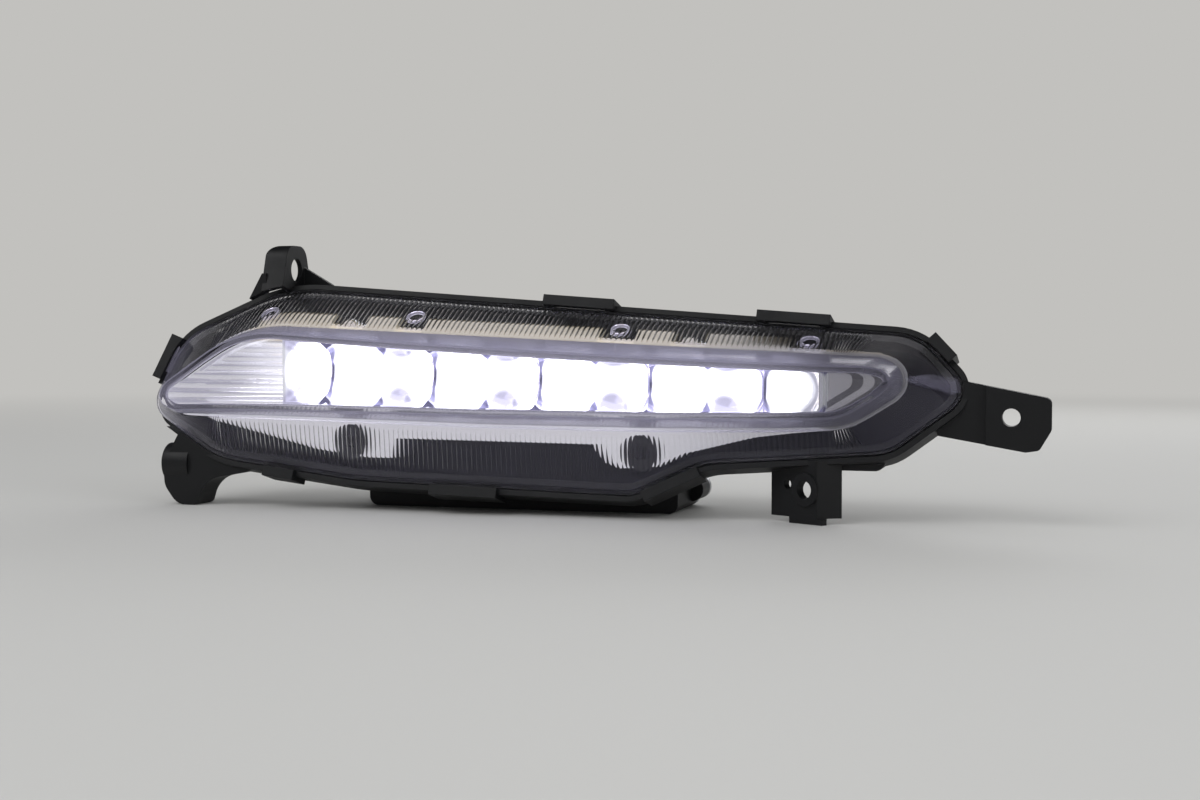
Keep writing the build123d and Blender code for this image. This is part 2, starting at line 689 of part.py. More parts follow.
with BuildPart() as housing:
    add(shell_block.part)
    add(rear_box.part)
    add(ear.part)
    add(foot.part)
    add(tab.part)
    with BuildSketch(at_y(BLOCK_BACK_Y)):
        with Locations((BLOCK_RIGHT_X, BLOCK_BOTTOM_Z)):
            RectangleRounded(
                2 * (BLOCK_RIGHT_X - BLOCK_LEFT_X),
                2 * (BLOCK_TOP_Z - BLOCK_BOTTOM_Z),
                BLOCK_ROUND,
                align=(Align.MAX, Align.MIN),
            )
        with Locations((BLOCK_LEFT_X, BLOCK_TOP_Z)):
            Rectangle(
                BLOCK_RIGHT_X - BLOCK_LEFT_X,
                BLOCK_TOP_Z - BLOCK_BOTTOM_Z,
                align=(Align.MIN, Align.MAX),
                mode=Mode.INTERSECT,
            )
    extrude(amount=BLOCK_BACK_Y - BLOCK_FRONT_Y)
    with BuildSketch(at_y(ARM_BACK_Y)):
        with BuildLine():
            FilletPolyline(ARM_SHAPE, radius=ARM_ROUNDS, close=True)
        make_face()
    extrude(amount=ARM_BACK_Y - ARM_FRONT_Y)
    with BuildSketch(at_y(ARM_FRONT_Y)):
        with BuildLine():
            FilletPolyline(ARM_SHAPE, radius=ARM_ROUNDS, close=True)
        make_face()
        with Locations((PAD_LEFT_X, ARM_HOLE_Z)):
            Rectangle(REACH, REACH, align=(Align.MIN, Align.CENTER), mode=Mode.INTERSECT)
    extrude(amount=PAD_PROUD)
    for side, along, length in CLIPS:
        with BuildSketch(RIM_PLANE.offset(CLIP_RISE)):
            with Locations(on_side(LENS_EDGE, side, along)):
                Rectangle(length, 2 * (RIM_OUT + CLIP_PROUD))
        extrude(amount=-(CLIP_RISE + CLIP_DEPTH))
    # Space for the lens in front of the rim, the hollow, and the groove round it
    with BuildSketch(RIM_PLANE.offset(BRIM_FOOT)):
        add(outline(grown(LENS_EDGE, GROOVE_OUT)))
    extrude(amount=SHELL_DEPTH, mode=Mode.SUBTRACT)
    add(shell_hollow.part, mode=Mode.SUBTRACT)
    with BuildSketch(RIM_PLANE):
        add(outline(grown(LENS_EDGE, GROOVE_OUT)))
        add(outline(grown(LENS_EDGE, GROOVE_IN)), mode=Mode.SUBTRACT)
    extrude(amount=-GROOVE_DEPTH, mode=Mode.SUBTRACT)
    # Pockets of the clips for the lens's lugs, and the gap at the left tip
    for side, along, length in CLIPS:
        with BuildSketch(RIM_PLANE):
            with Locations(on_side(LENS_EDGE, side, along)):
                Rectangle(length - 2 * (CLIP_ARM - CLEARANCE), 2 * (LUG_REACH + CLEARANCE))
        extrude(amount=LUG_THICKNESS + 2 * CLEARANCE, mode=Mode.SUBTRACT)
    with BuildSketch(RIM_PLANE):
        add(outline(grown(LENS_EDGE, RIM_OUT + CLIP_PROUD)))
        with Locations((TIP_GAP_X, TIP_GAP_RISE)):
            Rectangle(REACH, TIP_GAP_HEIGHT, align=(Align.MAX, Align.CENTER), mode=Mode.INTERSECT)
        add(outline(grown(LENS_EDGE, GROOVE_OUT)), mode=Mode.SUBTRACT)
    extrude(amount=-LEG_DEPTH, mode=Mode.SUBTRACT)
    # Fixing holes
    with BuildSketch(Plane.YZ.offset(EAR_X)):
        with Locations((EAR_HOLE_Y, EAR_HOLE_Z)):
            Circle(EAR_HOLE_RADIUS)
    extrude(amount=-EAR_WIDTH, mode=Mode.SUBTRACT)
    with BuildSketch(TAB_PLANE.offset(TAB_BOSS_PROUD)):
        with Locations((-TAB_HOLE_FROM_CREASE, TAB_HOLE_Z)):
            Circle(TAB_HOLE_RADIUS)
        with Locations((-LOCATING_HOLE_FROM_CREASE, LOCATING_HOLE_Z)):
            Circle(LOCATING_HOLE_RADIUS)
    extrude(amount=-(TAB_BOSS_PROUD + 2 * TAB_PLATE), mode=Mode.SUBTRACT)
    with BuildSketch(at_y(ARM_FRONT_Y - PAD_PROUD)):
        with Locations((ARM_HOLE_X, ARM_HOLE_Z)):
            Circle(ARM_HOLE_RADIUS)
    extrude(amount=-(PAD_PROUD + ARM_BACK_Y - ARM_FRONT_Y), mode=Mode.SUBTRACT)
    # Hole for the lead between the shell and the rear box
    with BuildSketch(at_y(BOX_BACK_Y)):
        with Locations((LEAD_X, LEAD_Z)):
            Circle(GROMMET_RADIUS)
    extrude(amount=BOX_BACK_Y - LEAD_RUN_Y, mode=Mode.SUBTRACT)
    # Breather spigot
    with BuildSketch(SHELL_BACK):
        with Locations(SPIGOT_PLACE):
            Circle(SPIGOT_RADIUS)
    extrude(amount=-SPIGOT_LENGTH)
    with BuildSketch(SHELL_BACK.offset(-SPIGOT_LENGTH)):
        with Locations(SPIGOT_PLACE):
            Circle(SPIGOT_BORE)
    extrude(amount=SPIGOT_LENGTH + 2 * WALL, mode=Mode.SUBTRACT)
    add(bezel_posts.part)
housing.part.label = "housing"

with BuildPart() as vent_cap:
    with BuildSketch(SHELL_BACK.offset(-CLEARANCE)):
        with Locations(SPIGOT_PLACE):
            Circle(SPIGOT_RADIUS + CAP_WALL)
    extrude(amount=-(SPIGOT_LENGTH + CAP_WALL))
    fillet(vent_cap.faces().sort_by(Axis.Y)[-1].edges(), CAP_WALL / 2)
    with BuildSketch(SHELL_BACK):
        with Locations(SPIGOT_PLACE):
            Circle(SPIGOT_RADIUS + SLACK)
    extrude(amount=-SPIGOT_LENGTH, mode=Mode.SUBTRACT)
vent_cap.part.label = "vent_cap"

with BuildPart() as lens_seal:
    with BuildSketch(RIM_PLANE.offset(-GROOVE_DEPTH)):
        add(outline(grown(LENS_EDGE, GROOVE_OUT - SLACK)))
        add(outline(grown(LENS_EDGE, GROOVE_IN + SLACK)), mode=Mode.SUBTRACT)
    extrude(amount=GROOVE_DEPTH - LEG_DEPTH)
lens_seal.part.label = "lens_seal"

# Bezel, from its wing, its stepped end, its lip, its plate and its ring
with BuildPart() as wing:
    with BuildSketch(Plane.YZ.offset(WING_AXIS_X)):
        with BuildLine():
            wing_front_y = WING_AXIS_Y + WING_RADIUS
            wing_top_z = WING_BOTTOM_Z + FLUTE_COUNT * FLUTE_PITCH
            for flute in range(FLUTE_COUNT):
                flute_z = WING_BOTTOM_Z + flute * FLUTE_PITCH
                ThreePointArc(
                    (wing_front_y, flute_z),
                    (wing_front_y + FLUTE_DEPTH, flute_z + FLUTE_PITCH / 2),
                    (wing_front_y, flute_z + FLUTE_PITCH),
                )
            Polyline(
                (wing_front_y, wing_top_z),
                (wing_front_y + WING_WALL, wing_top_z),
                (wing_front_y + WING_WALL, WING_BOTTOM_Z),
                (wing_front_y, WING_BOTTOM_Z),
            )
        make_face()
    revolve(axis=Axis((WING_AXIS_X, WING_AXIS_Y, 0), (0, 0, 1)), revolution_arc=WING_ARC)
    with BuildSketch(at_y(SEAT_BACK_Y)):
        add(outline(grown(MOUTH, RING_WALL / 2)))
        with Locations((REFLECTOR_LEFT_X - WING_GAP, ROW_MIDDLE_Z)):
            Rectangle(REACH, REACH, align=(Align.MAX, Align.CENTER), mode=Mode.INTERSECT)
    extrude(amount=REACH, mode=Mode.INTERSECT)

with BuildPart() as stepped_end:
    with BuildSketch(at_y(RING_BACK_Y)):
        add(outline(grown(MOUTH, RING_WALL / 2)))
        with Locations((REFLECTOR_RIGHT_X + END_GAP, ROW_MIDDLE_Z)):
            Rectangle(REACH, REACH, align=(Align.MIN, Align.CENTER), mode=Mode.INTERSECT)
    extrude(amount=RING_BACK_Y - END_FRONT_Y)
    for step in range(END_STEPS):
        pulled_in = END_FIRST_STEP + step * END_STEP_WIDTH
        with BuildSketch(at_y(END_FRONT_Y)):
            add(outline([(x - pulled_in, z, radius) for x, z, radius in MOUTH]))
        extrude(amount=-(step + 1) * END_STEP_DEPTH, mode=Mode.SUBTRACT)

lip_front = brim_body(LENS_WALL + LIP_STAND)
lip_back = brim_body(LENS_WALL + LIP_STAND + LIP_WALL)
with BuildPart() as lip:
    add(lip_front)
    add(lip_back, mode=Mode.SUBTRACT)
    with BuildSketch(SHELL_BACK):
        add(outline(grown(LENS_EDGE, HOLLOW_IN - CLEARANCE)))
    extrude(amount=REACH, mode=Mode.INTERSECT)
    with BuildSketch(at_y(BOX_BACK_Y)):
        add(outline(grown(WINDOW, LIP_RISE)))
        add(outline(grown(MOUTH, RING_WALL / 2)), mode=Mode.SUBTRACT)
        with Locations((0, LIP_BOTTOM_Z)):
            Rectangle(2 * REACH, REACH, align=(Align.CENTER, Align.MIN), mode=Mode.INTERSECT)
        for gap_x, gap_width in LIP_GAPS:
            with Locations((gap_x, LIP_BOTTOM_Z)):
                Rectangle(gap_width, REACH, align=(Align.CENTER, Align.MIN), mode=Mode.SUBTRACT)
    extrude(amount=REACH, mode=Mode.INTERSECT)

with BuildPart() as bezel:
    # Plate with the lower skirt
    with BuildSketch(at_y(PLATE_BACK_Y)):
        add(outline(grown(MOUTH, PLATE_REACH)))
        with BuildLine():
            Polyline(*SKIRT, close=True)
        make_face()
        add(outline(MOUTH), mode=Mode.SUBTRACT)
        with Locations(BEZEL_SCREW_PLACES):
            Circle(SCREW_HOLE, mode=Mode.SUBTRACT)
    extrude(amount=PLATE_WALL)
    # Ring round the mouth
    with BuildSketch(at_y(RING_BACK_Y)):
        add(outline(grown(MOUTH, RING_WALL)))
        add(outline(MOUTH), mode=Mode.SUBTRACT)
    extrude(amount=RING_BACK_Y - RING_FRONT_Y)
    add(wing.part)
    add(stepped_end.part)
    add(lip.part)
    # Bosses for the screws that hold the reflector
    with BuildSketch(at_y(RING_BACK_Y)):
        with Locations(SEAT_SCREW_PLACES):
            Circle(SEAT_LUG_RADIUS)
        add(outline(MOUTH), mode=Mode.SUBTRACT)
    extrude(amount=RING_BACK_Y - PLATE_FRONT_Y)
    with BuildSketch(at_y(RING_BACK_Y)):
        with Locations(SEAT_SCREW_PLACES):
            Circle(SCREW_HOLE)
    extrude(amount=SEAT_SCREW_LENGTH - SEAT_WALL, mode=Mode.SUBTRACT)
    add(bezel_room, mode=Mode.INTERSECT)
bezel.part.label = "bezel"

bezel_screw = screw(BEZEL_SCREW_LENGTH)
with BuildPart() as bezel_screws:
    with BuildSketch(at_y(PLATE_FRONT_Y)):
        with Locations(BEZEL_SCREW_PLACES):
            Circle(BEZEL_FLANGE_RADIUS)
    extrude(amount=BEZEL_FLANGE_WALL)
    with Locations([at_y(PLATE_FRONT_Y) * Pos(x, z) for x, z in BEZEL_SCREW_PLACES]):
        add(bezel_screw)
bezel_screws.part.label = "bezel_screws"


# Reflector: a row of bowls with a seat behind the bezel's ring
def bowls(extra):
    """Row of alternating wide and narrow balls whose backs share one depth, grown by extra."""
    with BuildPart() as row:
        for index, (x, z) in enumerate(LED_PLACES):
            radius = NARROW_RADIUS if index % 2 else WIDE_RADIUS
            with Locations(ROW_PLANE * Pos(x, z, BOWL_WALL + radius)):
                Sphere(radius + extra)
    return row.part


def reflector_slab(margin, front_y):
    """Block inside the mouth, drawn in by margin, from the reflector's back to front_y."""
    with BuildPart() as slab:
        with BuildSketch(at_y(REFLECTOR_BACK_Y)):
            add(outline(grown(MOUTH, -margin)))
            with Locations((REFLECTOR_LEFT_X + margin, ROW_MIDDLE_Z)):
                Rectangle(
                    REFLECTOR_RIGHT_X - REFLECTOR_LEFT_X - 2 * margin,
                    REACH,
                    align=(Align.MIN, Align.CENTER),
                    mode=Mode.INTERSECT,
                )
        extrude(amount=REFLECTOR_BACK_Y - front_y)
    return slab.part


outer_bowls = bowls(BOWL_WALL)
inner_bowls = bowls(0)
outer_slab = reflector_slab(CLEARANCE, REFLECTOR_FRONT_Y)
inner_slab = reflector_slab(CLEARANCE + SIDE_WALL, REFLECTOR_FRONT_Y - SIDE_WALL)

with BuildPart() as lit_space:
    add(inner_bowls)
    add(inner_slab, mode=Mode.INTERSECT)

with BuildPart() as reflector:
    add(outer_bowls)
    add(outer_slab, mode=Mode.INTERSECT)
    with BuildSketch(at_y(SEAT_BACK_Y)):
        add(outline(grown(MOUTH, SEAT_REACH)))
        with Locations((REFLECTOR_LEFT_X, ROW_MIDDLE_Z)):
            Rectangle(
                REFLECTOR_RIGHT_X - REFLECTOR_LEFT_X,
                REACH,
                align=(Align.MIN, Align.CENTER),
                mode=Mode.INTERSECT,
            )
        with Locations(SEAT_SCREW_PLACES):
            Circle(SEAT_LUG_RADIUS)
    extrude(amount=SEAT_WALL)
    with BuildSketch(ROW_PLANE):
        with Locations(POST_PLACES):
            Circle(POST_RADIUS)
    extrude(amount=POST_LENGTH)
    with BuildSketch(at_y(SEAT_BACK_Y)):
        with Locations(SEAT_SCREW_PLACES):
            Circle(SCREW_HOLE)
    extrude(amount=SEAT_WALL, mode=Mode.SUBTRACT)
    with BuildSketch(ROW_PLANE):
        with Locations(POST_PLACES):
            Circle(SCREW_HOLE)
    extrude(amount=POST_LENGTH, mode=Mode.SUBTRACT)
    with BuildSketch(ROW_PLANE):
        with Locations(LED_PLACES):
            Rectangle(LED_WINDOW, LED_WINDOW)
    extrude(amount=2 * BOWL_WALL, mode=Mode.SUBTRACT)
    add(lit_space.part, mode=Mode.SUBTRACT)
reflector.part.label = "reflector"

seat_screw = screw(SEAT_SCREW_LENGTH)
with BuildPart() as reflector_screws:
    with Locations([seen_from_back(SEAT_BACK_Y) * Pos(-x, z) for x, z in SEAT_SCREW_PLACES]):
        add(seat_screw)
reflector_screws.part.label = "reflector_screws"

# Lamp board with its lamps, and the heat sink behind it
with BuildPart() as led_board:
    with BuildSketch(ROW_PLANE):
        with Locations(((BOARD_LEFT + BOARD_RIGHT) / 2, 0)):
            RectangleRounded(BOARD_RIGHT - BOARD_LEFT, BOARD_HEIGHT, BOARD_CORNER)
        with Locations(POST_PLACES):
            Circle(SCREW_HOLE, mode=Mode.SUBTRACT)
    extrude(amount=-BOARD_WALL)
led_board.part.label = "led_board"

with BuildPart() as led_packages:
    with BuildSketch(ROW_PLANE):
        with Locations(LED_PLACES):
            RectangleRounded(LED_SIZE, LED_SIZE, LED_CORNER)
    extrude(amount=LED_HEIGHT)
led_packages.part.label = "led_packages"

with BuildPart() as led_domes:
    with Locations([ROW_PLANE * Pos(x, z, LED_HEIGHT) for x, z in LED_PLACES]):
        Sphere(DOME_RADIUS, arc_size1=0, align=(Align.CENTER, Align.CENTER, Align.MIN))
led_domes.part.label = "led_domes"

with BuildPart() as thermal_pad:
    with BuildSketch(BOARD_BACK):
        Rectangle(SINK_LENGTH, BOARD_HEIGHT)
        with Locations(POST_PLACES):
            Circle(SCREW_HOLE, mode=Mode.SUBTRACT)
    extrude(amount=-THERMAL_PAD_WALL)
thermal_pad.part.label = "thermal_pad"

with BuildPart() as heat_sink:
    with BuildSketch(THERMAL_PAD_BACK):
        Rectangle(SINK_LENGTH, BOARD_HEIGHT)
        with Locations(POST_PLACES):
            Circle(SCREW_HOLE, mode=Mode.SUBTRACT)
    extrude(amount=-SINK_WALL)
    with BuildSketch(SINK_BACK):
        with GridLocations(0, SINK_FIN_PITCH, 1, SINK_FIN_COUNT):
            Rectangle(SINK_LENGTH, SINK_FIN_WALL)
    extrude(amount=-SINK_FIN_HEIGHT)
heat_sink.part.label = "heat_sink"

board_screw = screw(SINK_WALL + THERMAL_PAD_WALL + BOARD_WALL + POST_LENGTH - SLACK)
with BuildPart() as board_screws:
    with Locations([SINK_BACK * Pos(x, z) * Rot(180, 0, 0) for x, z in POST_PLACES]):
        add(board_screw)
board_screws.part.label = "board_screws"

# Lead between the two boards, with a header at each end
COVER_FRONT_Y = BOX_BACK_Y + GASKET_WALL
COVER_BACK_Y = COVER_FRONT_Y + COVER_WALL
DRIVER_BACK_Y = COVER_FRONT_Y - COVER_POST_LENGTH
DRIVER_FRONT_Y = DRIVER_BACK_Y - DRIVER_WALL

with BuildPart() as led_header:
    with BuildSketch(BOARD_BACK):
        with Locations((HEADER_X, 0)):
            RectangleRounded(HEADER_LENGTH, HEADER_WIDTH, LED_CORNER)
    extrude(amount=-HEADER_HEIGHT)
led_header.part.label = "led_header"

with BuildPart() as driver_header:
    with BuildSketch(at_y(DRIVER_FRONT_Y)):
        with Locations((LEAD_X, LEAD_Z)):
            RectangleRounded(HEADER_LENGTH, HEADER_WIDTH, LED_CORNER)
    extrude(amount=HEADER_HEIGHT)
driver_header.part.label = "driver_header"

with BuildPart() as led_lead:
    with BuildLine() as lead_route:
        FilletPolyline(
            LEAD_START,
            (LEAD_START.X, LEAD_RUN_Y, LEAD_START.Z),
            (LEAD_X, LEAD_RUN_Y, LEAD_Z),
            (LEAD_X, DRIVER_FRONT_Y - HEADER_HEIGHT, LEAD_Z),
            radius=LEAD_BEND,
        )
    with BuildSketch(at_y(LEAD_START.Y)):
        with Locations((LEAD_START.X, LEAD_START.Z)):
            Circle(LEAD_RADIUS)
    sweep(path=lead_route.line)
led_lead.part.label = "led_lead"

with BuildPart() as lead_grommet:
    with BuildSketch(at_y(LEAD_WALL_Y + GROMMET_PROUD)):
        with Locations((LEAD_X, LEAD_Z)):
            Circle(GROMMET_RADIUS - SLACK)
            Circle(LEAD_RADIUS + SLACK, mode=Mode.SUBTRACT)
    extrude(amount=GROMMET_PROUD + WALL / cos(radians(RIM_LEAN)) + GROMMET_LIP)
lead_grommet.part.label = "lead_grommet"

# Driver board on the rear cover's posts
DRIVER_FRONT = Plane(origin=(BOX_MIDDLE[0], DRIVER_FRONT_Y, BOX_MIDDLE[1]), x_dir=(1, 0, 0), z_dir=(0, -1, 0))
DRIVER_LENGTH = BOX_LENGTH - 2 * WALL - 2 * DRIVER_GAP
DRIVER_HEIGHT = BOX_TOP_Z - 2 * WALL - 2 * DRIVER_GAP
COVER_POST_PLACES = [
    (
        BOX_MIDDLE[0] + side * (DRIVER_LENGTH / 2 - COVER_POST_INSET),
        BOX_MIDDLE[1] + level * (DRIVER_HEIGHT / 2 - COVER_POST_INSET),
    )
    for side in (-1, 1)
    for level in (-1, 1)
]
SOCKET_PLACE = (BOX_LEFT_X + SOCKET_FROM_LEFT, BOX_MIDDLE[1])
FIRST_PIN_X = SOCKET_PLACE[0] - (PIN_COUNT - 1) * PIN_PITCH / 2
PIN_PLACES = [(FIRST_PIN_X + index * PIN_PITCH, SOCKET_PLACE[1]) for index in range(PIN_COUNT)]

with BuildPart() as driver_board:
    with BuildSketch(at_y(DRIVER_BACK_Y)):
        with Locations(BOX_MIDDLE):
            RectangleRounded(DRIVER_LENGTH, DRIVER_HEIGHT, BOARD_CORNER)
        with Locations(COVER_POST_PLACES):
            Circle(SCREW_HOLE, mode=Mode.SUBTRACT)
        with Locations(PIN_PLACES):
            Circle(PIN_RADIUS + SLACK, mode=Mode.SUBTRACT)
    extrude(amount=DRIVER_WALL)
driver_board.part.label = "driver_board"

with BuildPart() as driver_chip:
    with BuildSketch(DRIVER_FRONT):
        with Locations(CHIP_PLACE):
            RectangleRounded(CHIP_SIZE, CHIP_SIZE, LED_CORNER)
    extrude(amount=CHIP_HEIGHT)
driver_chip.part.label = "driver_chip"

with BuildPart() as driver_inductor:
    with BuildSketch(DRIVER_FRONT):
        with Locations(COIL_PLACE):
            RectangleRounded(COIL_SIZE, COIL_SIZE, COIL_CORNER)
    extrude(amount=COIL_HEIGHT)
driver_inductor.part.label = "driver_inductor"

with BuildPart() as driver_mosfets:
    with BuildSketch(DRIVER_FRONT):
        with Locations(MOSFET_PLACES):
            RectangleRounded(MOSFET_LENGTH, MOSFET_WIDTH, LED_CORNER)
    extrude(amount=MOSFET_HEIGHT)
driver_mosfets.part.label = "driver_mosfets"

with BuildPart() as driver_capacitors:
    with BuildSketch(DRIVER_FRONT):
        with Locations(CAPACITOR_PLACES):
            Circle(CAPACITOR_RADIUS)
    extrude(amount=CAPACITOR_HEIGHT)
    fillet(driver_capacitors.faces().group_by(Axis.Y)[0].edges(), CAPACITOR_ROUND)
driver_capacitors.part.label = "driver_capacitors"

driver_screw = screw(DRIVER_WALL + COVER_POST_LENGTH - SLACK)
with BuildPart() as driver_board_screws:
    with Locations([at_y(DRIVER_FRONT_Y) * Pos(x, z) for x, z in COVER_POST_PLACES]):
        add(driver_screw)
driver_board_screws.part.label = "driver_board_screws"

with BuildPart() as cover_gasket:
    with BuildSketch(at_y(COVER_FRONT_Y)):
        with Locations(BOX_MIDDLE):
            RectangleRounded(BOX_LENGTH, BOX_TOP_Z, BOX_CORNER)
        with Locations(COVER_SCREW_PLACES):
            Circle(COVER_LUG_RADIUS)
        with Locations(BOX_MIDDLE):
            RectangleRounded(
                BOX_LENGTH - 2 * WALL, BOX_TOP_Z - 2 * WALL, BOX_CORNER - WALL, mode=Mode.SUBTRACT
            )
        with Locations(COVER_SCREW_PLACES):
            Circle(SCREW_HOLE, mode=Mode.SUBTRACT)
    extrude(amount=GASKET_WALL)
cover_gasket.part.label = "cover_gasket"

COVER_FIN_SPAN = (COVER_FIN_COUNT - 1) * COVER_FIN_PITCH + COVER_FIN_WALL

with BuildPart() as rear_cover:
    with BuildSketch(at_y(COVER_BACK_Y)):
        with Locations(BOX_MIDDLE):
            RectangleRounded(BOX_LENGTH, BOX_TOP_Z, BOX_CORNER)
        with Locations(COVER_SCREW_PLACES):
            Circle(COVER_LUG_RADIUS)
        with Locations(COVER_SCREW_PLACES):
            Circle(SCREW_HOLE, mode=Mode.SUBTRACT)
        with Locations(SOCKET_PLACE):
            RectangleRounded(
                SOCKET_LENGTH + 2 * CLEARANCE,
                SOCKET_HEIGHT + 2 * CLEARANCE,
                SOCKET_CORNER + CLEARANCE,
                mode=Mode.SUBTRACT,
            )
    extrude(amount=COVER_WALL)
    with BuildSketch(at_y(COVER_BACK_Y)):
        with Locations((BOX_RIGHT_X - COVER_FIN_EDGE - COVER_FIN_SPAN / 2, BOX_MIDDLE[1])):
            with GridLocations(COVER_FIN_PITCH, 0, COVER_FIN_COUNT, 1):
                Rectangle(COVER_FIN_WALL, BOX_TOP_Z - 2 * COVER_FIN_INSET)
    extrude(amount=-COVER_FIN_HEIGHT)
    with BuildSketch(at_y(COVER_FRONT_Y)):
        with Locations(COVER_POST_PLACES):
            Circle(COVER_POST_RADIUS)
    extrude(amount=COVER_POST_LENGTH)
    with BuildSketch(at_y(DRIVER_BACK_Y)):
        with Locations(COVER_POST_PLACES):
            Circle(SCREW_HOLE)
    extrude(amount=-COVER_POST_LENGTH, mode=Mode.SUBTRACT)
rear_cover.part.label = "rear_cover"

cover_screw = screw(COVER_WALL + GASKET_WALL + COVER_LUG_DEPTH - WALL - SLACK)
with BuildPart() as cover_screws:
    with Locations([seen_from_back(COVER_BACK_Y) * Pos(-x, z) for x, z in COVER_SCREW_PLACES]):
        add(cover_screw)
cover_screws.part.label = "cover_screws"

# Connector in the rear cover, with pins through its floor into the driver board
SOCKET_BACK_Y = COVER_BACK_Y + COVER_FIN_HEIGHT

with BuildPart() as connector_socket:
    with BuildSketch(at_y(SOCKET_BACK_Y)):
        with Locations(SOCKET_PLACE):
            RectangleRounded(SOCKET_LENGTH, SOCKET_HEIGHT, SOCKET_CORNER)
    extrude(amount=SOCKET_BACK_Y - DRIVER_BACK_Y)
    with BuildSketch(at_y(COVER_FRONT_Y)):
        with Locations(SOCKET_PLACE):
            RectangleRounded(
                SOCKET_LENGTH + 2 * SOCKET_FLANGE, SOCKET_HEIGHT + 2 * SOCKET_FLANGE, SOCKET_CORNER
            )
    extrude(amount=SOCKET_FLANGE)
    with BuildSketch(at_y(SOCKET_BACK_Y)):
        with Locations(SOCKET_PLACE):
            RectangleRounded(
                SOCKET_LENGTH - 2 * SOCKET_WALL, SOCKET_HEIGHT - 2 * SOCKET_WALL, SOCKET_CORNER / 2
            )
    extrude(amount=SOCKET_DEPTH, mode=Mode.SUBTRACT)
    with BuildSketch(at_y(SOCKET_BACK_Y)):
        with Locations(PIN_PLACES):
            Circle(PIN_RADIUS + SLACK)
    extrude(amount=SOCKET_BACK_Y - DRIVER_BACK_Y, mode=Mode.SUBTRACT)
connector_socket.part.label = "connector_socket"

with BuildPart() as connector_pins:
    with BuildSketch(at_y(SOCKET_BACK_Y - PIN_SETBACK)):
        with Locations(PIN_PLACES):
            Circle(PIN_RADIUS)
    extrude(amount=SOCKET_BACK_Y - PIN_SETBACK - DRIVER_FRONT_Y + PIN_TAIL)
connector_pins.part.label = "connector_pins"

os.makedirs("parts", exist_ok=True)
export_step(housing.part, "parts/housing.step")
export_step(outer_lens.part, "parts/outer_lens.step")
export_step(lens_seal.part, "parts/lens_seal.step")
export_step(vent_cap.part, "parts/vent_cap.step")
export_step(bezel.part, "parts/bezel.step")
export_step(bezel_screws.part, "parts/bezel_screws.step")
export_step(reflector.part, "parts/reflector.step")
export_step(reflector_screws.part, "parts/reflector_screws.step")
export_step(led_board.part, "parts/led_board.step")
export_step(led_packages.part, "parts/led_packages.step")
export_step(led_domes.part, "parts/led_domes.step")
export_step(thermal_pad.part, "parts/thermal_pad.step")
export_step(heat_sink.part, "parts/heat_sink.step")
export_step(board_screws.part, "parts/board_screws.step")
export_step(led_header.part, "parts/led_header.step")
export_step(led_lead.part, "parts/led_lead.step")
export_step(lead_grommet.part, "parts/lead_grommet.step")
export_step(driver_board.part, "parts/driver_board.step")
export_step(driver_header.part, "parts/driver_header.step")
export_step(driver_chip.part, "parts/driver_chip.step")
export_step(driver_inductor.part, "parts/driver_inductor.step")
export_step(driver_mosfets.part, "parts/driver_mosfets.step")
export_step(driver_capacitors.part, "parts/driver_capacitors.step")
export_step(driver_board_screws.part, "parts/driver_board_screws.step")
export_step(cover_gasket.part, "parts/cover_gasket.step")
export_step(rear_cover.part, "parts/rear_cover.step")
export_step(cover_screws.part, "parts/cover_screws.step")
export_step(connector_socket.part, "parts/connector_socket.step")
export_step(connector_pins.part, "parts/connector_pins.step")
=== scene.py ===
"""Looks of a lit daytime running light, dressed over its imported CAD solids.

X runs along the lamp, -Y is the lit front and +Z is up. Sizes are in millimetres, as in the
part's source, and MM turns them to Blender's metres.
"""

import json
import logging
import math
from dataclasses import dataclass, field
from enum import Enum
from typing import Any

import bmesh
import bpy
import numpy as np
from mathutils import Euler, Matrix, Vector


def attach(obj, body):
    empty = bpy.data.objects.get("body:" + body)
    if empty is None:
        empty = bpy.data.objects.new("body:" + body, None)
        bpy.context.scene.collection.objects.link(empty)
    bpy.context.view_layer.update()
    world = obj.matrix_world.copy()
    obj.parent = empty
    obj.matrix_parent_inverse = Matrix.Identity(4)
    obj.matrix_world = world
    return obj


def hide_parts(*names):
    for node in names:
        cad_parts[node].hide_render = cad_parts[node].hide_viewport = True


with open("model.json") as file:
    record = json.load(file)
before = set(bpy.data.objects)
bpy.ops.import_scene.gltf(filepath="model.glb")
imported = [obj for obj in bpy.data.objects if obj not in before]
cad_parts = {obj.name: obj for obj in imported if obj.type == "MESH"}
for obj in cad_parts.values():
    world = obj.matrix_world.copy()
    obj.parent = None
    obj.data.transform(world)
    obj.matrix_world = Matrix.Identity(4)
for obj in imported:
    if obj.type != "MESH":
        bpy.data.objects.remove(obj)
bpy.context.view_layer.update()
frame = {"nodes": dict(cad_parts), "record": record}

MM = 0.001
BODY = "root"
LOG = logging.getLogger("daytime_running_light")

Corner = tuple[float, float, float]
Place = tuple[float, float]
Sums = tuple[tuple[str, str, tuple[str | float, ...]], ...]

# The row of bowls: its middle along the lamp, in depth and in height, and its fall to the right in degrees
ROW_MIDDLE: Corner = (-11.6, -7.0, 54.4)
ROW_FALL = 1.66

# Detail of the cloudy patches and of the fine grain, and the values of the patches' noise that
# stand for the least and the most roughness
CLOUD_DETAIL = 3.0
GRAIN_DETAIL = 2.0
MOTTLE_RANGE: Place = (0.3, 0.7)
HAZE_RANGE: Place = (0.35, 0.7)
# Scale of drawn lines along the lamp, against 1 across it
DRAWN_STRETCH = 0.02
# Rays with which sharp edges are looked for
EDGE_SAMPLES = 4

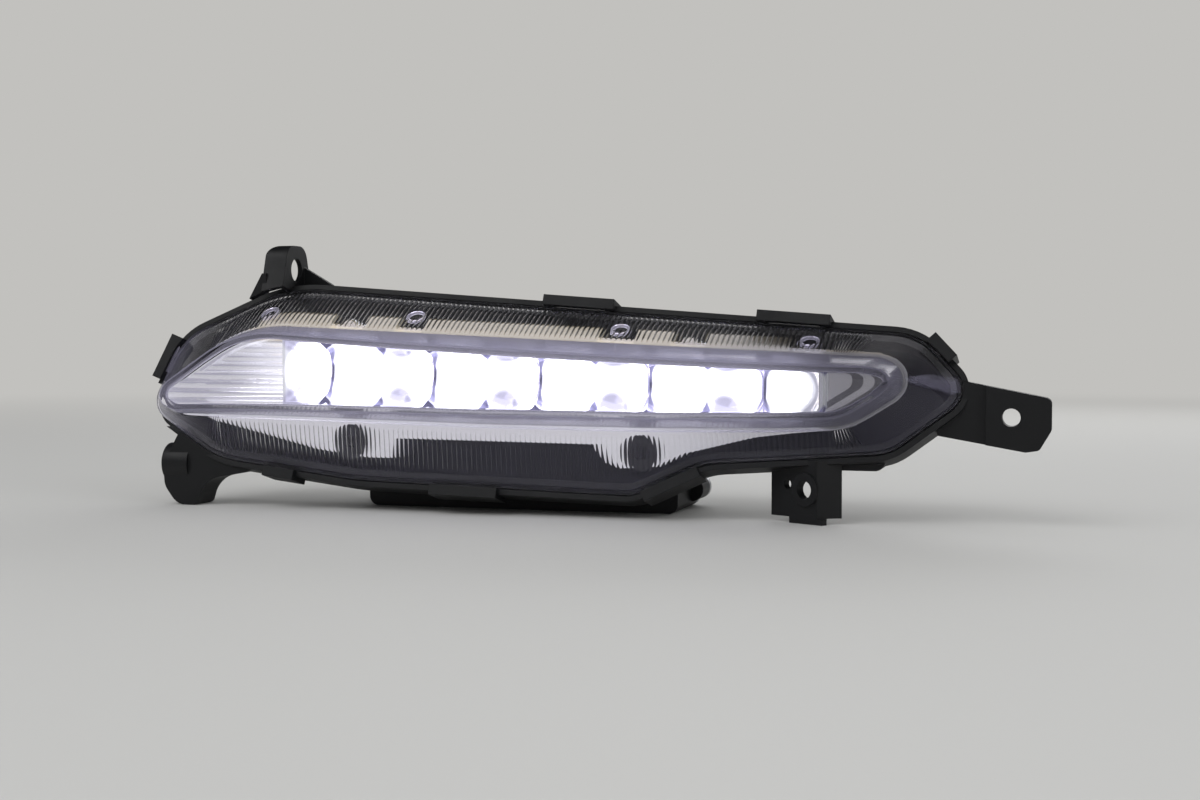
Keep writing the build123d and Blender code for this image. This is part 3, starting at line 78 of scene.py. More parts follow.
# Smallest corner radius of an outline that is drawn in, and the slack of the rays that meet outlines
LEAST_RADIUS = 0.4
PARALLEL = 1e-12
RAY_SLACK = 1e-6


def linear(colour: str) -> tuple[float, float, float, float]:
    """Turn an sRGB hex colour to linear light.

    Args:
        colour: Colour as "#rrggbb".

    Returns:
        Red, green, blue and an alpha of 1.
    """
    channels = [int(colour[start : start + 2], 16) / 255 for start in (1, 3, 5)]
    red, green, blue = (c / 12.92 if c <= 0.04045 else ((c + 0.055) / 1.055) ** 2.4 for c in channels)
    return (red, green, blue, 1.0)


def per_metre(size: float) -> float:
    """Texture scale whose marks are about size millimetres wide."""
    return 1 / (size * MM)


def add_node(
    tree: bpy.types.NodeTree,
    kind: str,
    inputs: dict[str | int, Any] | None = None,
    **settings: Any,
) -> bpy.types.Node:
    """Add one node with its settings, and set or link its inputs.

    Args:
        tree: Tree that gets the node.
        kind: Node type.
        inputs: Value or source socket for each input, by its name or number.
        settings: Values for the node's own properties.

    Returns:
        The node.
    """
    node = tree.nodes.new(kind)
    for name, value in settings.items():
        setattr(node, name, value)
    for key, value in (inputs or {}).items():
        if isinstance(value, bpy.types.NodeSocket):
            tree.links.new(value, node.inputs[key])
        else:
            node.inputs[key].default_value = value
    return node


def empty_tree(owner: bpy.types.Material | bpy.types.World) -> bpy.types.NodeTree:
    """Give a material or a world an empty tree.

    Args:
        owner: The material or the world.

    Returns:
        Its tree.
    """
    owner.use_nodes = True
    owner.node_tree.nodes.clear()
    return owner.node_tree


def work_out(
    tree: bpy.types.NodeTree, known: dict[str, bpy.types.NodeSocket], sums: Sums
) -> dict[str, bpy.types.NodeSocket]:
    """Add the nodes that work out a list of sums, one after the other.

    Args:
        tree: Tree that gets the nodes.
        known: Sockets that the sums can use, by name.
        sums: Name, operation and values of each sum. A value is a number or the name of a socket or
            of an earlier sum. SMOOTHSTEP goes from 0 to 1 between its second and third value.

    Returns:
        The sockets, with one more for each sum.
    """
    found = dict(known)
    for name, operation, values in sums:
        given = [found[value] if isinstance(value, str) else value for value in values]
        if operation == "SMOOTHSTEP":
            kind, settings = "ShaderNodeMapRange", {"interpolation_type": operation}
        else:
            kind, settings = "ShaderNodeMath", {"operation": operation}
        found[name] = add_node(tree, kind, dict(enumerate(given)), **settings).outputs[0]
    return found


class Grain(Enum):
    """Kind of pattern that a surface got from the way it was made."""

    MOULDED = "spark-eroded mould"
    CAST = "shot-blasted casting"
    DRAWN = "lines along the lamp"
    PLATED = "bright plating"
    SHEET = "filled sheet"


@dataclass(frozen=True)
class Finish:
    """One material: its colour, how it shines, and the grain its making left.

    Attributes:
        name: Material name, for what it is and how it was made.
        colour: Main colour as sRGB hex.
        second: Colour of the mottling.
        roughness: Mean roughness.
        spread: How far the roughness goes up and down with the mottling.
        metallic: 1 for metal, 0 for the rest.
        grain: Kind of pattern.
        grain_size: Width of one grain in millimetres.
        grain_depth: Depth of the grain in millimetres.
        mottle_size: Width of the cloudy patches in millimetres.
        edge: Radius in millimetres to which sharp edges look rounded, or 0.
        specular: Strength of the mirrored light, 0.5 for a plain plastic.
    """

    name: str
    colour: str
    second: str
    roughness: float
    spread: float = 0.06
    metallic: float = 0.0
    grain: Grain = Grain.MOULDED
    grain_size: float = 0.7
    grain_depth: float = 0.02
    mottle_size: float = 14.0
    edge: float = 0.0
    specular: float = 0.5

    def material(self) -> bpy.types.Material:
        """Make the material with its nodes.

        Returns:
            The material.
        """
        made = bpy.data.materials.new(self.name)
        tree = empty_tree(made)
        shader = add_node(
            tree,
            "ShaderNodeBsdfPrincipled",
            {
                "Base Color": linear(self.colour),
                "Roughness": self.roughness,
                "Metallic": self.metallic,
                "Specular IOR Level": self.specular,
            },
        )
        add_node(tree, "ShaderNodeOutputMaterial", {"Surface": shader.outputs["BSDF"]})
        self.dress(tree, shader)
        return made

    def dress(self, tree: bpy.types.NodeTree, shader: bpy.types.Node) -> None:
        """Give the shader its mottling and grain.

        Args:
            tree: The material's tree.
            shader: Its Principled node.
        """
        place = add_node(tree, "ShaderNodeTexCoord").outputs["Object"]
        mottle = self.cloud(tree, shader, place, MOTTLE_RANGE, self.roughness - self.spread)
        colour = add_node(
            tree,
            "ShaderNodeMix",
            {"Factor": mottle, 6: linear(self.colour), 7: linear(self.second)},
            data_type="RGBA",
        ).outputs[2]
        tree.links.new(colour, shader.inputs["Base Color"])
        tree.links.new(self.relief(tree, place), shader.inputs["Normal"])

    def cloud(
        self,
        tree: bpy.types.NodeTree,
        shader: bpy.types.Node,
        place: bpy.types.NodeSocket,
        limits: Place,
        least: float,
    ) -> bpy.types.NodeSocket:
        """Let the roughness come and go in cloudy patches.

        Args:
            tree: The material's tree.
            shader: Its Principled node.
            place: Object coordinates.
            limits: Values of the noise at the least and at the most roughness.
            least: The least roughness.

        Returns:
            The patches' noise.
        """
        noise = add_node(
            tree,
            "ShaderNodeTexNoise",
            {"Vector": place, "Scale": per_metre(self.mottle_size), "Detail": CLOUD_DETAIL},
        ).outputs["Fac"]
        rough = add_node(
            tree,
            "ShaderNodeMapRange",
            {"Value": noise, 1: limits[0], 2: limits[1], 3: least, 4: self.roughness + self.spread},
        ).outputs["Result"]
        tree.links.new(rough, shader.inputs["Roughness"])
        return noise

    def relief(self, tree: bpy.types.NodeTree, place: bpy.types.NodeSocket) -> bpy.types.NodeSocket:
        """Make the grain as a bump, over edges that look rounded.

        Args:
            tree: The material's tree.
            place: Object coordinates.

        Returns:
            The normal that the shader takes.
        """
        stretch = (DRAWN_STRETCH if self.grain is Grain.DRAWN else 1.0, 1.0, 1.0)
        stretched = add_node(tree, "ShaderNodeMapping", {"Vector": place, "Scale": stretch}).outputs["Vector"]
        grains = {"Vector": stretched, "Scale": per_metre(self.grain_size)}
        if self.grain in (Grain.CAST, Grain.SHEET):
            pitted = add_node(tree, "ShaderNodeTexVoronoi", {**grains, "Randomness": 1.0}, feature="SMOOTH_F1")
            height = pitted.outputs["Distance"]
        else:
            height = add_node(tree, "ShaderNodeTexNoise", {**grains, "Detail": GRAIN_DETAIL}).outputs["Fac"]
        inputs = {"Height": height, "Distance": self.grain_depth * MM, "Strength": 1.0}
        if self.edge:
            eased = add_node(tree, "ShaderNodeBevel", {"Radius": self.edge * MM}, samples=EDGE_SAMPLES)
            inputs["Normal"] = eased.outputs["Normal"]
        return add_node(tree, "ShaderNodeBump", inputs).outputs["Normal"]


@dataclass(frozen=True)
class ClearMoulding(Finish):
    """Clear plastic that bends what is seen through it, with a painted glow for the lamps' light that it carries.

    Attributes:
        ior: Index of refraction.
        clear: Share of the light that goes through and not into a milky haze.
        mirrored: Colour of what the hard coat mirrors.
        glow: Strength of the painted glow that stands in for the lamps' light carried in the moulding; its colour is
            the second colour.
        fade_from: Place along the lamp where that light starts to fade.
        fade_to: Place along the lamp where it is down to its rest.
        rest: Share of the light that is left there.
    """

    ior: float = 1.58
    clear: float = 0.997
    mirrored: str = "#9a97b3"
    glow: float = 0.0
    fade_from: float = 75.0
    fade_to: float = 115.0
    rest: float = 0.0

    def dress(self, tree: bpy.types.NodeTree, shader: bpy.types.Node) -> None:
        """Make the shader clear, with a faint haze that comes and goes and a painted glow that fades along the lamp.

        Args:
            tree: The material's tree.
            shader: Its Principled node.
        """
        constants = {
            "Transmission Weight": self.clear,
            "IOR": self.ior,
            "Specular Tint": linear(self.mirrored),
            # Here the second colour is the colour of the painted glow
            "Emission Color": linear(self.second),
        }
        for socket, value in constants.items():
            shader.inputs[socket].default_value = value
        place = add_node(tree, "ShaderNodeTexCoord").outputs["Object"]
        along = add_node(tree, "ShaderNodeSeparateXYZ", {"Vector": place}).outputs["X"]
        # Strength of the painted glow, which fades along the lamp down to its rest
        found = work_out(
            tree,
            {"along": along},
            (
                ("faded", "SMOOTHSTEP", ("along", self.fade_from * MM, self.fade_to * MM)),
                ("strength", "MULTIPLY_ADD", ("faded", self.glow * (self.rest - 1), self.glow)),
            ),
        )
        tree.links.new(found["strength"], shader.inputs["Emission Strength"])
        self.cloud(tree, shader, place, HAZE_RANGE, self.roughness)


@dataclass(frozen=True)
class MetallisedFrame(Finish):
    """Metallised plastic with the lamps' light painted on as a glow, less and less towards its right end, and with
    painted shade on that end's steps.

    Attributes:
        near: Lighter painted shade on the right end's foremost step and on every second one behind it.
        deep: Darker painted shade on the steps between them.
        near_y: Depth of the foremost step.
        step: Depth from one step to the next.
        end_from: Place along the lamp where the right end starts.
        end_to: Place along the lamp from which it is full.
        lamp_light: Colour of the painted lamp light on the frame.
        lip_light: Colour of the painted lamp light on the lip over the window.
        lip_from: Height over the row of bowls at which the lip starts.
        lip_to: Height over the row from which the lip's light is full.
        glow: Strength of the painted light.
        fade_from: Place along the lamp where the light starts to fade.
        fade_to: Place along the lamp where it is down to its rest.
        rest: Share of the light that is left there.
        end_glow: Strength of the painted light on the right end's lighter steps.
        deep_glow: Strength of the painted light on its darker steps.
        flood: Strength of the painted light that is added right next to the row's left end.
        flood_from: Place along the lamp where that light starts.
        flood_to: Place along the lamp where it is full.
        flood_end: Place along the lamp where it stops.
        foot_from: Height over the row's line at which that light starts, at the wing's foot.
        foot_to: Height over the row's line from which it is full.
    """

    near: str = "#7f7e82"
    deep: str = "#434246"
    near_y: float = -28.0
    step: float = 3.2
    end_from: float = 101.0
    end_to: float = 107.0
    lamp_light: str = "#dbdbe0"
    lip_light: str = "#f8e9c6"
    lip_from: float = 11.5
    lip_to: float = 13.5
    glow: float = 0.32
    fade_from: float = 25.0
    fade_to: float = 95.0
    rest: float = 0.12
    end_glow: float = 0.1
    deep_glow: float = 0.01
    flood: float = 0.55
    flood_from: float = -150.0
    flood_to: float = -119.0
    flood_end: float = -115.0
    foot_from: float = -12.0
    foot_to: float = -8.0

    def dress(self, tree: bpy.types.NodeTree, shader: bpy.types.Node) -> None:
        """Paint the lamps' light on the plain metallising as a glow, and paint shade on its right end, darker on
        every second step.

        Args:
            tree: The material's tree.
            shader: Its Principled node.
        """
        super().dress(tree, shader)
        metal = shader.inputs["Base Color"].links[0].from_socket
        place = add_node(tree, "ShaderNodeTexCoord").outputs["Object"]
        local = add_node(tree, "ShaderNodeVectorMath", {0: place, "Scale": 1 / MM}, operation="SCALE").outputs[0]
        along, depth, height = add_node(tree, "ShaderNodeSeparateXYZ", {"Vector": local}).outputs
        slope = math.tan(math.radians(ROW_FALL))
        row_x, _, row_z = ROW_MIDDLE
        found = work_out(
            tree,
            {"along": along, "depth": depth, "height": height},
            (
                # Painted shade on the right end's steps, and painted lamp light that fades to the right, with more
                # on the lip and the wing
                ("end", "SMOOTHSTEP", ("along", self.end_from, self.end_to)),
                ("behind", "SUBTRACT", ("depth", self.near_y)),
                ("turn", "MULTIPLY", ("behind", math.pi / self.step)),
                ("wave", "COSINE", ("turn",)),
                ("step_shade", "MULTIPLY_ADD", ("wave", -0.5, 0.5)),
                ("level", "MULTIPLY_ADD", ("along", slope, -row_z - slope * row_x)),
                ("rise", "ADD", ("height", "level")),
                ("lip", "SMOOTHSTEP", ("rise", self.lip_from, self.lip_to)),
                ("faded", "SMOOTHSTEP", ("along", self.fade_from, self.fade_to)),
                ("even", "MULTIPLY_ADD", ("faded", self.glow * (self.rest - 1), self.glow)),
                ("next_to", "SMOOTHSTEP", ("along", self.flood_from, self.flood_to)),
                ("before", "LESS_THAN", ("along", self.flood_end)),
                ("over_foot", "SMOOTHSTEP", ("rise", self.foot_from, self.foot_to)),
                ("under_lip", "LESS_THAN", ("rise", self.lip_from)),
                ("flooded", "MULTIPLY", ("next_to", "before")),
                ("inside", "MULTIPLY", ("over_foot", "under_lip")),
                ("on_wing", "MULTIPLY", ("flooded", "inside")),
                ("winged", "MULTIPLY_ADD", ("on_wing", self.flood, "even")),
                ("on_step", "MULTIPLY_ADD", ("step_shade", self.deep_glow - self.end_glow, self.end_glow)),
                ("strength", "MULTIPLY_ADD", ("end", "on_step", "winged")),
            ),
        )
        # Painted shade: lighter and darker steps at the right end
        steps = add_node(
            tree,
            "ShaderNodeMix",
            {"Factor": found["step_shade"], 6: linear(self.near), 7: linear(self.deep)},
            data_type="RGBA",
        ).outputs[2]
        # The base colour gets the painted step shade, the glow gets the painted lamp light, warm on the lip
        mixes = (
            ("Base Color", found["end"], metal, steps),
            ("Emission Color", found["lip"], linear(self.lamp_light), linear(self.lip_light)),
        )
        for socket, share, first, second in mixes:
            colour = add_node(tree, "ShaderNodeMix", {"Factor": share, 6: first, 7: second}, data_type="RGBA")
            tree.links.new(colour.outputs[2], shader.inputs[socket])
        tree.links.new(found["strength"], shader.inputs["Emission Strength"])


@dataclass(frozen=True)
class LitBowls(Finish):
    """Metallised bowls with the light of the lamps behind them painted on as a glow, and with painted shade on the
    ridges and past the row's ends.

    Attributes:
        pitch: Distance from lamp to lamp.
        first: The first lamp's place from the row's middle.
        ridge_at: Place of the ridge to the right of a wide bowl, from that bowl's lamp.
        ridge_lean: How far the ridge moves along the lamp for each unit of depth.
        hollow_lean: How far the hollows move along the lamp for each unit of depth.
        mouth_y: Depth of the mouth from the row's plane.
        floor_z: Height of the mouth's lower edge at the row's middle, from that middle.
        mouth: Height of the mouth at the row's middle.
        narrowing: How much the mouth's height goes down for each unit along the lamp.
        left_end: How far the light goes past the first lamp, in the mouth.
        left_lean: How far that end moves along the lamp for each unit of depth.
        left_round: How much that end draws in, over the square of the height from the row.
        right_end: How far the light goes past the last lamp, in the mouth.
        right_lean: How far that end moves along the lamp for each unit of depth.
        right_round: How much that end draws in, over the square of the height from the row.
        glow: Strength of the painted light.
        light: Colour of the painted light.
        shade: Colour of the dimmer painted light in the hollows.
        line: Colour of the painted shade lines on the ridges, in the glow and in the metal.
        line_glow: Strength of the painted light on those lines.
        line_half: Half the width of a line.
        line_flare: How much that grows at the line's two ends.
        flare_from: Share of the way from the mouth's middle to its edge at which a line starts to widen.
        line_blend: Shares of that half width between which a line fades.
        mark_flare: How much half the width of the other ridge's mark grows at its two ends.
        mark_inset: How far that half width is under 0 in the middle, which hides the mark there.
        mark_blend: Distances from the mark's edge between which it fades.
        hollow_half: Half the width of a hollow.
        foot_height: Height of the lower hollow, as a share of the mouth.
        foot_blend: Shares of the lower hollow's size, squared, between which it fades.
        head_height: Height of the upper hollow, as a share of the mouth.
        head_blend: Shares of the upper hollow's size, squared, between which it fades.
        hollow_glow: Strength of the painted light in the hollows.
        end_blend: Distances from the lit row's ends between which its light fades.
        corner_glow: Strength of the painted light in the row's left corners.
        tail_glow: Strength of the painted light past the row's right end.
        shaded_end_colour: Painted shade, a darker colour of the metal past the light's two ends.
    """

    pitch: float = 22.8
    first: float = -102.6
    ridge_at: float = 11.15
    ridge_lean: float = 0.1316
    hollow_lean: float = 0.33
    mouth_y: float = -16.0
    floor_z: float = -12.1
    mouth: float = 23.1
    narrowing: float = 0.0463
    left_end: float = 4.4
    left_lean: float = 0.5
    left_round: float = 0.04
    right_end: float = 9.4
    right_lean: float = 0.16
    right_round: float = 0.07
    glow: float = 1.5
    light: str = "#f7f9ff"
    shade: str = "#cac8e2"
    line: str = "#73718f"
    line_glow: float = 0.4
    line_half: float = 1.0
    line_flare: float = 2.4
    flare_from: float = 0.35
    line_blend: Place = (0.55, 1.25)
    mark_flare: float = 2.6
    mark_inset: float = 1.0
    mark_blend: Place = (-0.5, 0.6)
    hollow_half: float = 6.8
    foot_height: float = 0.34
    foot_blend: Place = (0.55, 1.2)
    head_height: float = 0.2
    head_blend: Place = (0.5, 1.3)
    hollow_glow: float = 0.75
    end_blend: Place = (-1.5, 2.0)
    corner_glow: float = 0.66
    tail_glow: float = 0.22
    shaded_end_colour: str = "#6a6972"

    def pattern(self) -> Sums:
        """List the sums that turn a place in the row to the painted light and shade there.

        Returns:
            The sums, from "along", "depth" and "rise" in millimetres to "bright", "lines" and "strength".
        """
        period = 2 * self.pitch
        last = -self.first
        return (
            ("from_first", "SUBTRACT", ("along", self.first)),
            ("step", "FLOORED_MODULO", ("from_first", period)),
            ("slant", "MULTIPLY", ("depth", self.ridge_lean)),
            # Height in the mouth: 0 at its lower edge and 1 at its upper edge
            ("open", "MULTIPLY_ADD", ("along", -self.narrowing, self.mouth)),
            ("floor", "MULTIPLY_ADD", ("along", math.tan(math.radians(ROW_FALL)), self.floor_z)),
            ("over_floor", "SUBTRACT", ("rise", "floor")),
            ("height", "DIVIDE", ("over_floor", "open")),
            ("swing", "MULTIPLY_ADD", ("height", 2.0, -1.0)),
            ("from_level", "ABSOLUTE", ("swing",)),
            # Painted shade: a dark line on each ridge right of a wide bowl, wider at its two ends
            ("leaning", "ADD", ("step", "slant")),
            ("past_ridge", "SUBTRACT", ("leaning", self.ridge_at)),
            ("off_ridge", "ABSOLUTE", ("past_ridge",)),
            ("flare", "SMOOTHSTEP", ("from_level", self.flare_from, 1.0)),
            ("line_width", "MULTIPLY_ADD", ("flare", self.line_flare, self.line_half)),
            ("off_line", "DIVIDE", ("off_ridge", "line_width")),
            ("ridge", "SMOOTHSTEP", ("off_line", *self.line_blend)),
            # The other ridge shows only as a painted dark mark at its two ends
            ("mirrored", "SUBTRACT", (period - self.ridge_at, "step")),
            ("past_mark", "SUBTRACT", ("mirrored", "slant")),
            ("off_mark", "ABSOLUTE", ("past_mark",)),
            ("mark_width", "MULTIPLY_ADD", ("flare", self.mark_flare, -self.mark_inset)),
            ("off_edge", "SUBTRACT", ("off_mark", "mark_width")),
            ("mark", "SMOOTHSTEP", ("off_edge", *self.mark_blend)),
            ("lines", "MULTIPLY", ("ridge", "mark")),
            # Dimmer painted light in the hollows at the foot and the head of each wide bowl
            ("behind", "SUBTRACT", ("depth", self.mouth_y)),
            ("shifted", "MULTIPLY_ADD", ("behind", self.hollow_lean, "from_first")),
            ("hollow", "FLOORED_MODULO", ("shifted", period)),
            ("other_way", "SUBTRACT", (period, "hollow")),
            ("from_lamp", "MINIMUM", ("hollow", "other_way")),
            ("across", "DIVIDE", ("from_lamp", self.hollow_half)),
            ("across_2", "POWER", ("across", 2.0)),
            ("up", "DIVIDE", ("height", self.foot_height)),
            ("up_2", "POWER", ("up", 2.0)),
            ("from_foot", "ADD", ("across_2", "up_2")),
            ("foot", "SMOOTHSTEP", ("from_foot", *self.foot_blend)),
            ("under_top", "SUBTRACT", (1.0, "height")),
            ("down", "DIVIDE", ("under_top", self.head_height)),
            ("down_2", "POWER", ("down", 2.0)),
            ("from_head", "ADD", ("across_2", "down_2")),
            ("head", "SMOOTHSTEP", ("from_head", *self.head_blend)),
            ("bright", "MULTIPLY", ("foot", "head")),
            # Round, soft ends of the painted light along the row
            ("rise_2", "MULTIPLY", ("rise", "rise")),
            ("at_left", "MULTIPLY_ADD", ("behind", self.left_lean, "along")),
            ("past_left", "SUBTRACT", (self.first - self.left_end, "at_left")),
            ("left_out", "MULTIPLY_ADD", ("rise_2", self.left_round, "past_left")),
            ("at_right", "MULTIPLY_ADD", ("behind", self.right_lean, "along")),
            ("past_right", "SUBTRACT", ("at_right", last + self.right_end)),
            ("right_out", "MULTIPLY_ADD", ("rise_2", self.right_round, "past_right")),
            ("outside", "MAXIMUM", ("left_out", "right_out")),
            ("dark_end", "SMOOTHSTEP", ("outside", *self.end_blend)),
            ("inside", "SUBTRACT", (1.0, "dark_end")),
            ("share", "MULTIPLY_ADD", ("bright", self.glow - self.hollow_glow, self.hollow_glow)),
            ("over_line", "SUBTRACT", ("share", self.line_glow)),
            ("lifted", "MULTIPLY_ADD", ("lines", "over_line", self.line_glow)),
            ("lit", "MULTIPLY", ("inside", "lifted")),
            # The wing's painted light goes on in the row's left corners, and little of it past the right end
            ("left", "LESS_THAN", ("along", 0.0)),
            ("past_light", "MULTIPLY_ADD", ("left", self.corner_glow - self.tail_glow, self.tail_glow)),
            ("strength", "MULTIPLY_ADD", ("dark_end", "past_light", "lit")),
        )

    def dress(self, tree: bpy.types.NodeTree, shader: bpy.types.Node) -> None:
        """Paint the bowls' light on as a glow, with painted shade on the ridges and past the row's ends, and dimmer
        hollows.

        Args:
            tree: The material's tree.
            shader: Its Principled node.
        """
        super().dress(tree, shader)
        metal = shader.inputs["Base Color"].links[0].from_socket
        place = add_node(tree, "ShaderNodeTexCoord").outputs["Object"]
        local = add_node(
            tree,
            "ShaderNodeMapping",
            {
                "Vector": place,
                "Location": [value * MM for value in ROW_MIDDLE],
                "Rotation": (0.0, math.radians(ROW_FALL), 0.0),
                "Scale": (MM, MM, MM),
            },
            vector_type="TEXTURE",
        ).outputs["Vector"]
        along, depth, rise = add_node(tree, "ShaderNodeSeparateXYZ", {"Vector": local}).outputs
        found = work_out(tree, {"along": along, "depth": depth, "rise": rise}, self.pattern())
        # The base colour gets painted shade past the row's ends and on the ridge lines, the glow gets the painted
        # light
        mixes = (
            ("Base Color", found["dark_end"], metal, linear(self.shaded_end_colour)),
            ("Emission Color", found["bright"], linear(self.shade), linear(self.light)),
        )
        for socket, share, first, second in mixes:
            plain = add_node(tree, "ShaderNodeMix", {"Factor": share, 6: first, 7: second}, data_type="RGBA")
            lined = add_node(
                tree,
                "ShaderNodeMix",
                {"Factor": found["lines"], 6: linear(self.line), 7: plain.outputs[2]},
                data_type="RGBA",
            )
            tree.links.new(lined.outputs[2], shader.inputs[socket])
        tree.links.new(found["strength"], shader.inputs["Emission Strength"])


@dataclass(frozen=True)
class LitDome(Finish):
    """Silicone over a lit chip.

    Attributes:
        glow: Strength of the light.
    """

    glow: float = 8.0

    def dress(self, tree: bpy.types.NodeTree, shader: bpy.types.Node) -> None:
        """Give the dome its light as well as its skin.

        Args:
            tree: The material's tree.
            shader: Its Principled node.
        """
        super().dress(tree, shader)
        shader.inputs["Emission Color"].default_value = linear(self.colour)
        shader.inputs["Emission Strength"].default_value = self.glow


# Numbers without a name are roughness, its spread, metallic, then after the grain its size and depth,
# the mottling's size and the edges' radius
FINISHES: dict[str, Finish] = {
    # Polypropylene from a spark-eroded mould: near black, with a soft sheen and a fine grain,
    # which is drawn coarser than the real 0.15 mm so that it shows
    "housing_black": Finish(
        "polypropylene_black_moulded",
        "#090a0c",
        "#0f1013",
        0.5,
        0.07,
        grain_size=0.55,
        grain_depth=0.03,
        edge=0.5,
        specular=0.35,
    ),
    # Polycarbonate with a hard coat: clear and glossy, with a painted lilac glow at its left tip
    "lens_clear": ClearMoulding(
        "polycarbonate_clear_hard_coated",
        "#f9f8fc",
        "#a9a6be",
        0.003,
        0.008,
        mottle_size=40.0,
        specular=0.25,
        glow=0.06,
        fade_from=-180.0,
        fade_to=-158.0,
    ),
    # The same moulding in the window's steep walls, with a painted lilac glow for the lamps' light that they carry
    "lens_wall": ClearMoulding(
        "polycarbonate_clear_painted_glow",
        "#8f8d9e",
        "#a5a3b4",
        0.14,
        0.08,
        mottle_size=30.0,
        specular=0.35,
        clear=0.72,
        glow=0.17,
        rest=0.05,
    ),
    # The same moulding in the small rings, with a painted glow too: pale loops on the dark brim
    "lens_ring": ClearMoulding(
        "polycarbonate_clear_ring_painted_glow",
        "#e9e6f6",
        "#cfccdf",
        0.01,
        0.01,
        mottle_size=30.0,
        clear=0.97,
        glow=0.16,
        rest=0.4,
    ),
    # Butyl bead: soft and matt
    "seal_grey": Finish("butyl_bead", "#3d3d40", "#46464a", 0.8),
    # Moulded rubber: matt, slightly dusty
    "rubber_black": Finish("epdm_rubber_moulded", "#1b1b1d", "#27272a", 0.72, grain_size=0.5, edge=0.4),
    # Plastic under vacuum-deposited aluminium: mirror-like with a faint waviness, on bezel and bowls, both with the
    # lamps' light painted on as a glow and with painted shade
    "bezel_metallised": MetallisedFrame(
        "metallised_plastic_bezel_painted_light_and_shade", "#dcdce0", "#cfcfd6", 0.16, 0.04, 1.0, Grain.PLATED, 3.0, 0.012, 25.0, 0.3
    ),
    "reflector_metallised": LitBowls(
        "metallised_plastic_bowls_painted_light_and_shade", "#e4e4e8", "#d8d8de", 0.12, 0.03, 1.0, Grain.PLATED, 3.0, 0.008, 25.0
    ),
    # Zinc-plated steel: grey with a bluish cast
    "screw_zinc": Finish(
        "zinc_plated_steel", "#b4b8be", "#a2a7ad", 0.34, 0.08, 1.0, Grain.PLATED, 0.4, 0.008, 3.0, 0.15
    ),
    # Black coating on steel: dark with a dull gloss
    "screw_black": Finish(
        "black_coated_steel", "#16161a", "#1e1e23", 0.4, 0.08, grain_size=0.4, grain_depth=0.01, edge=0.2
    ),
    # White solder mask on an aluminium core: bright, with a satin skin
    "board_white": Finish("white_solder_mask", "#ecedeb", "#e0e2df", 0.35, grain_size=1.2, grain_depth=0.01),
    # White moulded package: warm white and dull
    "led_package": Finish("white_moulded_package", "#efece2", "#e6e2d4", 0.4, grain_size=0.3, grain_depth=0.005),
    # Silicone over the chip: glossy, lit from within
    "led_dome": LitDome("silicone_dome_lit", "#fff8e6", "#fff4dc", 0.1, 0.02, grain_size=0.8, grain_depth=0.002),
    # Filled silicone sheet: matt, with specks of filler
    "pad_grey": Finish("filled_silicone_sheet", "#9fa2a6", "#93969a", 0.75, 0.05, 0.0, Grain.SHEET, 0.6, 0.02),
    # Extruded aluminium: fine lines along the extrusion
    "sink_aluminium": Finish(
        "extruded_aluminium", "#c9cbce", "#bfc1c5", 0.34, 0.06, 1.0, Grain.DRAWN, 0.5, 0.01, 18.0
    ),
    # Natural nylon: milky, with a soft gloss
    "header_natural": Finish("nylon_natural", "#dcd7c8", "#d2ccba", 0.42, grain_size=0.6),
    # PVC sheath: black with a low sheen
    "lead_black": Finish("pvc_sheath_black", "#202022", "#29292c", 0.5, grain_size=0.9),
    # Green solder mask over glass laminate: glossy and faintly uneven
    "board_green": Finish("green_solder_mask", "#1c6b3c", "#175c33", 0.3, grain_size=1.0, grain_depth=0.01),
    # Moulded epoxy: near black and matt
    "chip_black": Finish("epoxy_moulded", "#232326", "#2b2b2f", 0.55, grain_size=0.35),
    # Sintered ferrite: dark grey, dull and slightly coarse
    "ferrite_grey": Finish("ferrite_sintered", "#55565a", "#4a4b4f", 0.7, grain_size=0.4),
    # Drawn aluminium can: bright with a soft sheen
    "can_aluminium": Finish("drawn_aluminium", "#cdced1", "#c3c5c8", 0.28, 0.05, 1.0, Grain.PLATED, 0.5, 0.005),
    # Die-cast aluminium, shot-blasted: dull and finely pitted
    "cover_aluminium": Finish(
        "die_cast_aluminium", "#b9bbbe", "#a7a9ad", 0.42, 0.07, 1.0, Grain.CAST, 0.7, 0.05, 20.0, 0.4
    ),
    # Glass-filled nylon: dark grey and matt
    "socket_grey": Finish("glass_filled_nylon", "#3b3c40", "#45464b", 0.52, grain_size=0.5, edge=0.3),
    # Tinned brass: pale yellow metal with a smooth shine
    "pin_brass": Finish("tinned_brass", "#d9c48a", "#cdb67a", 0.25, 0.05, 1.0, Grain.PLATED, 0.4, 0.005),
}


@dataclass
class Palette:
    """The finishes of the record's slots and of the lens's parts, made once each."""

    made: dict[str, bpy.types.Material] = field(default_factory=dict)

    def of(self, slot: str) -> bpy.types.Material:
        """Give the material of a finish.

        Args:
            slot: Slot name of the record, or the name of one of the lens's own finishes.

        Returns:
            The material.
        """
        if slot not in self.made:
            self.made[slot] = FINISHES[slot].material()
        return self.made[slot]

    def dress_nodes(self) -> None:
        """Give every CAD node the material of its slot."""
        for row in frame["record"]["subparts"]:
            piece = frame["nodes"][row["node"]]
            piece.data.materials.clear()
            piece.data.materials.append(self.of(row["material_slot"]))
            LOG.info("dressed %s in %s", piece.name, row["material_slot"])


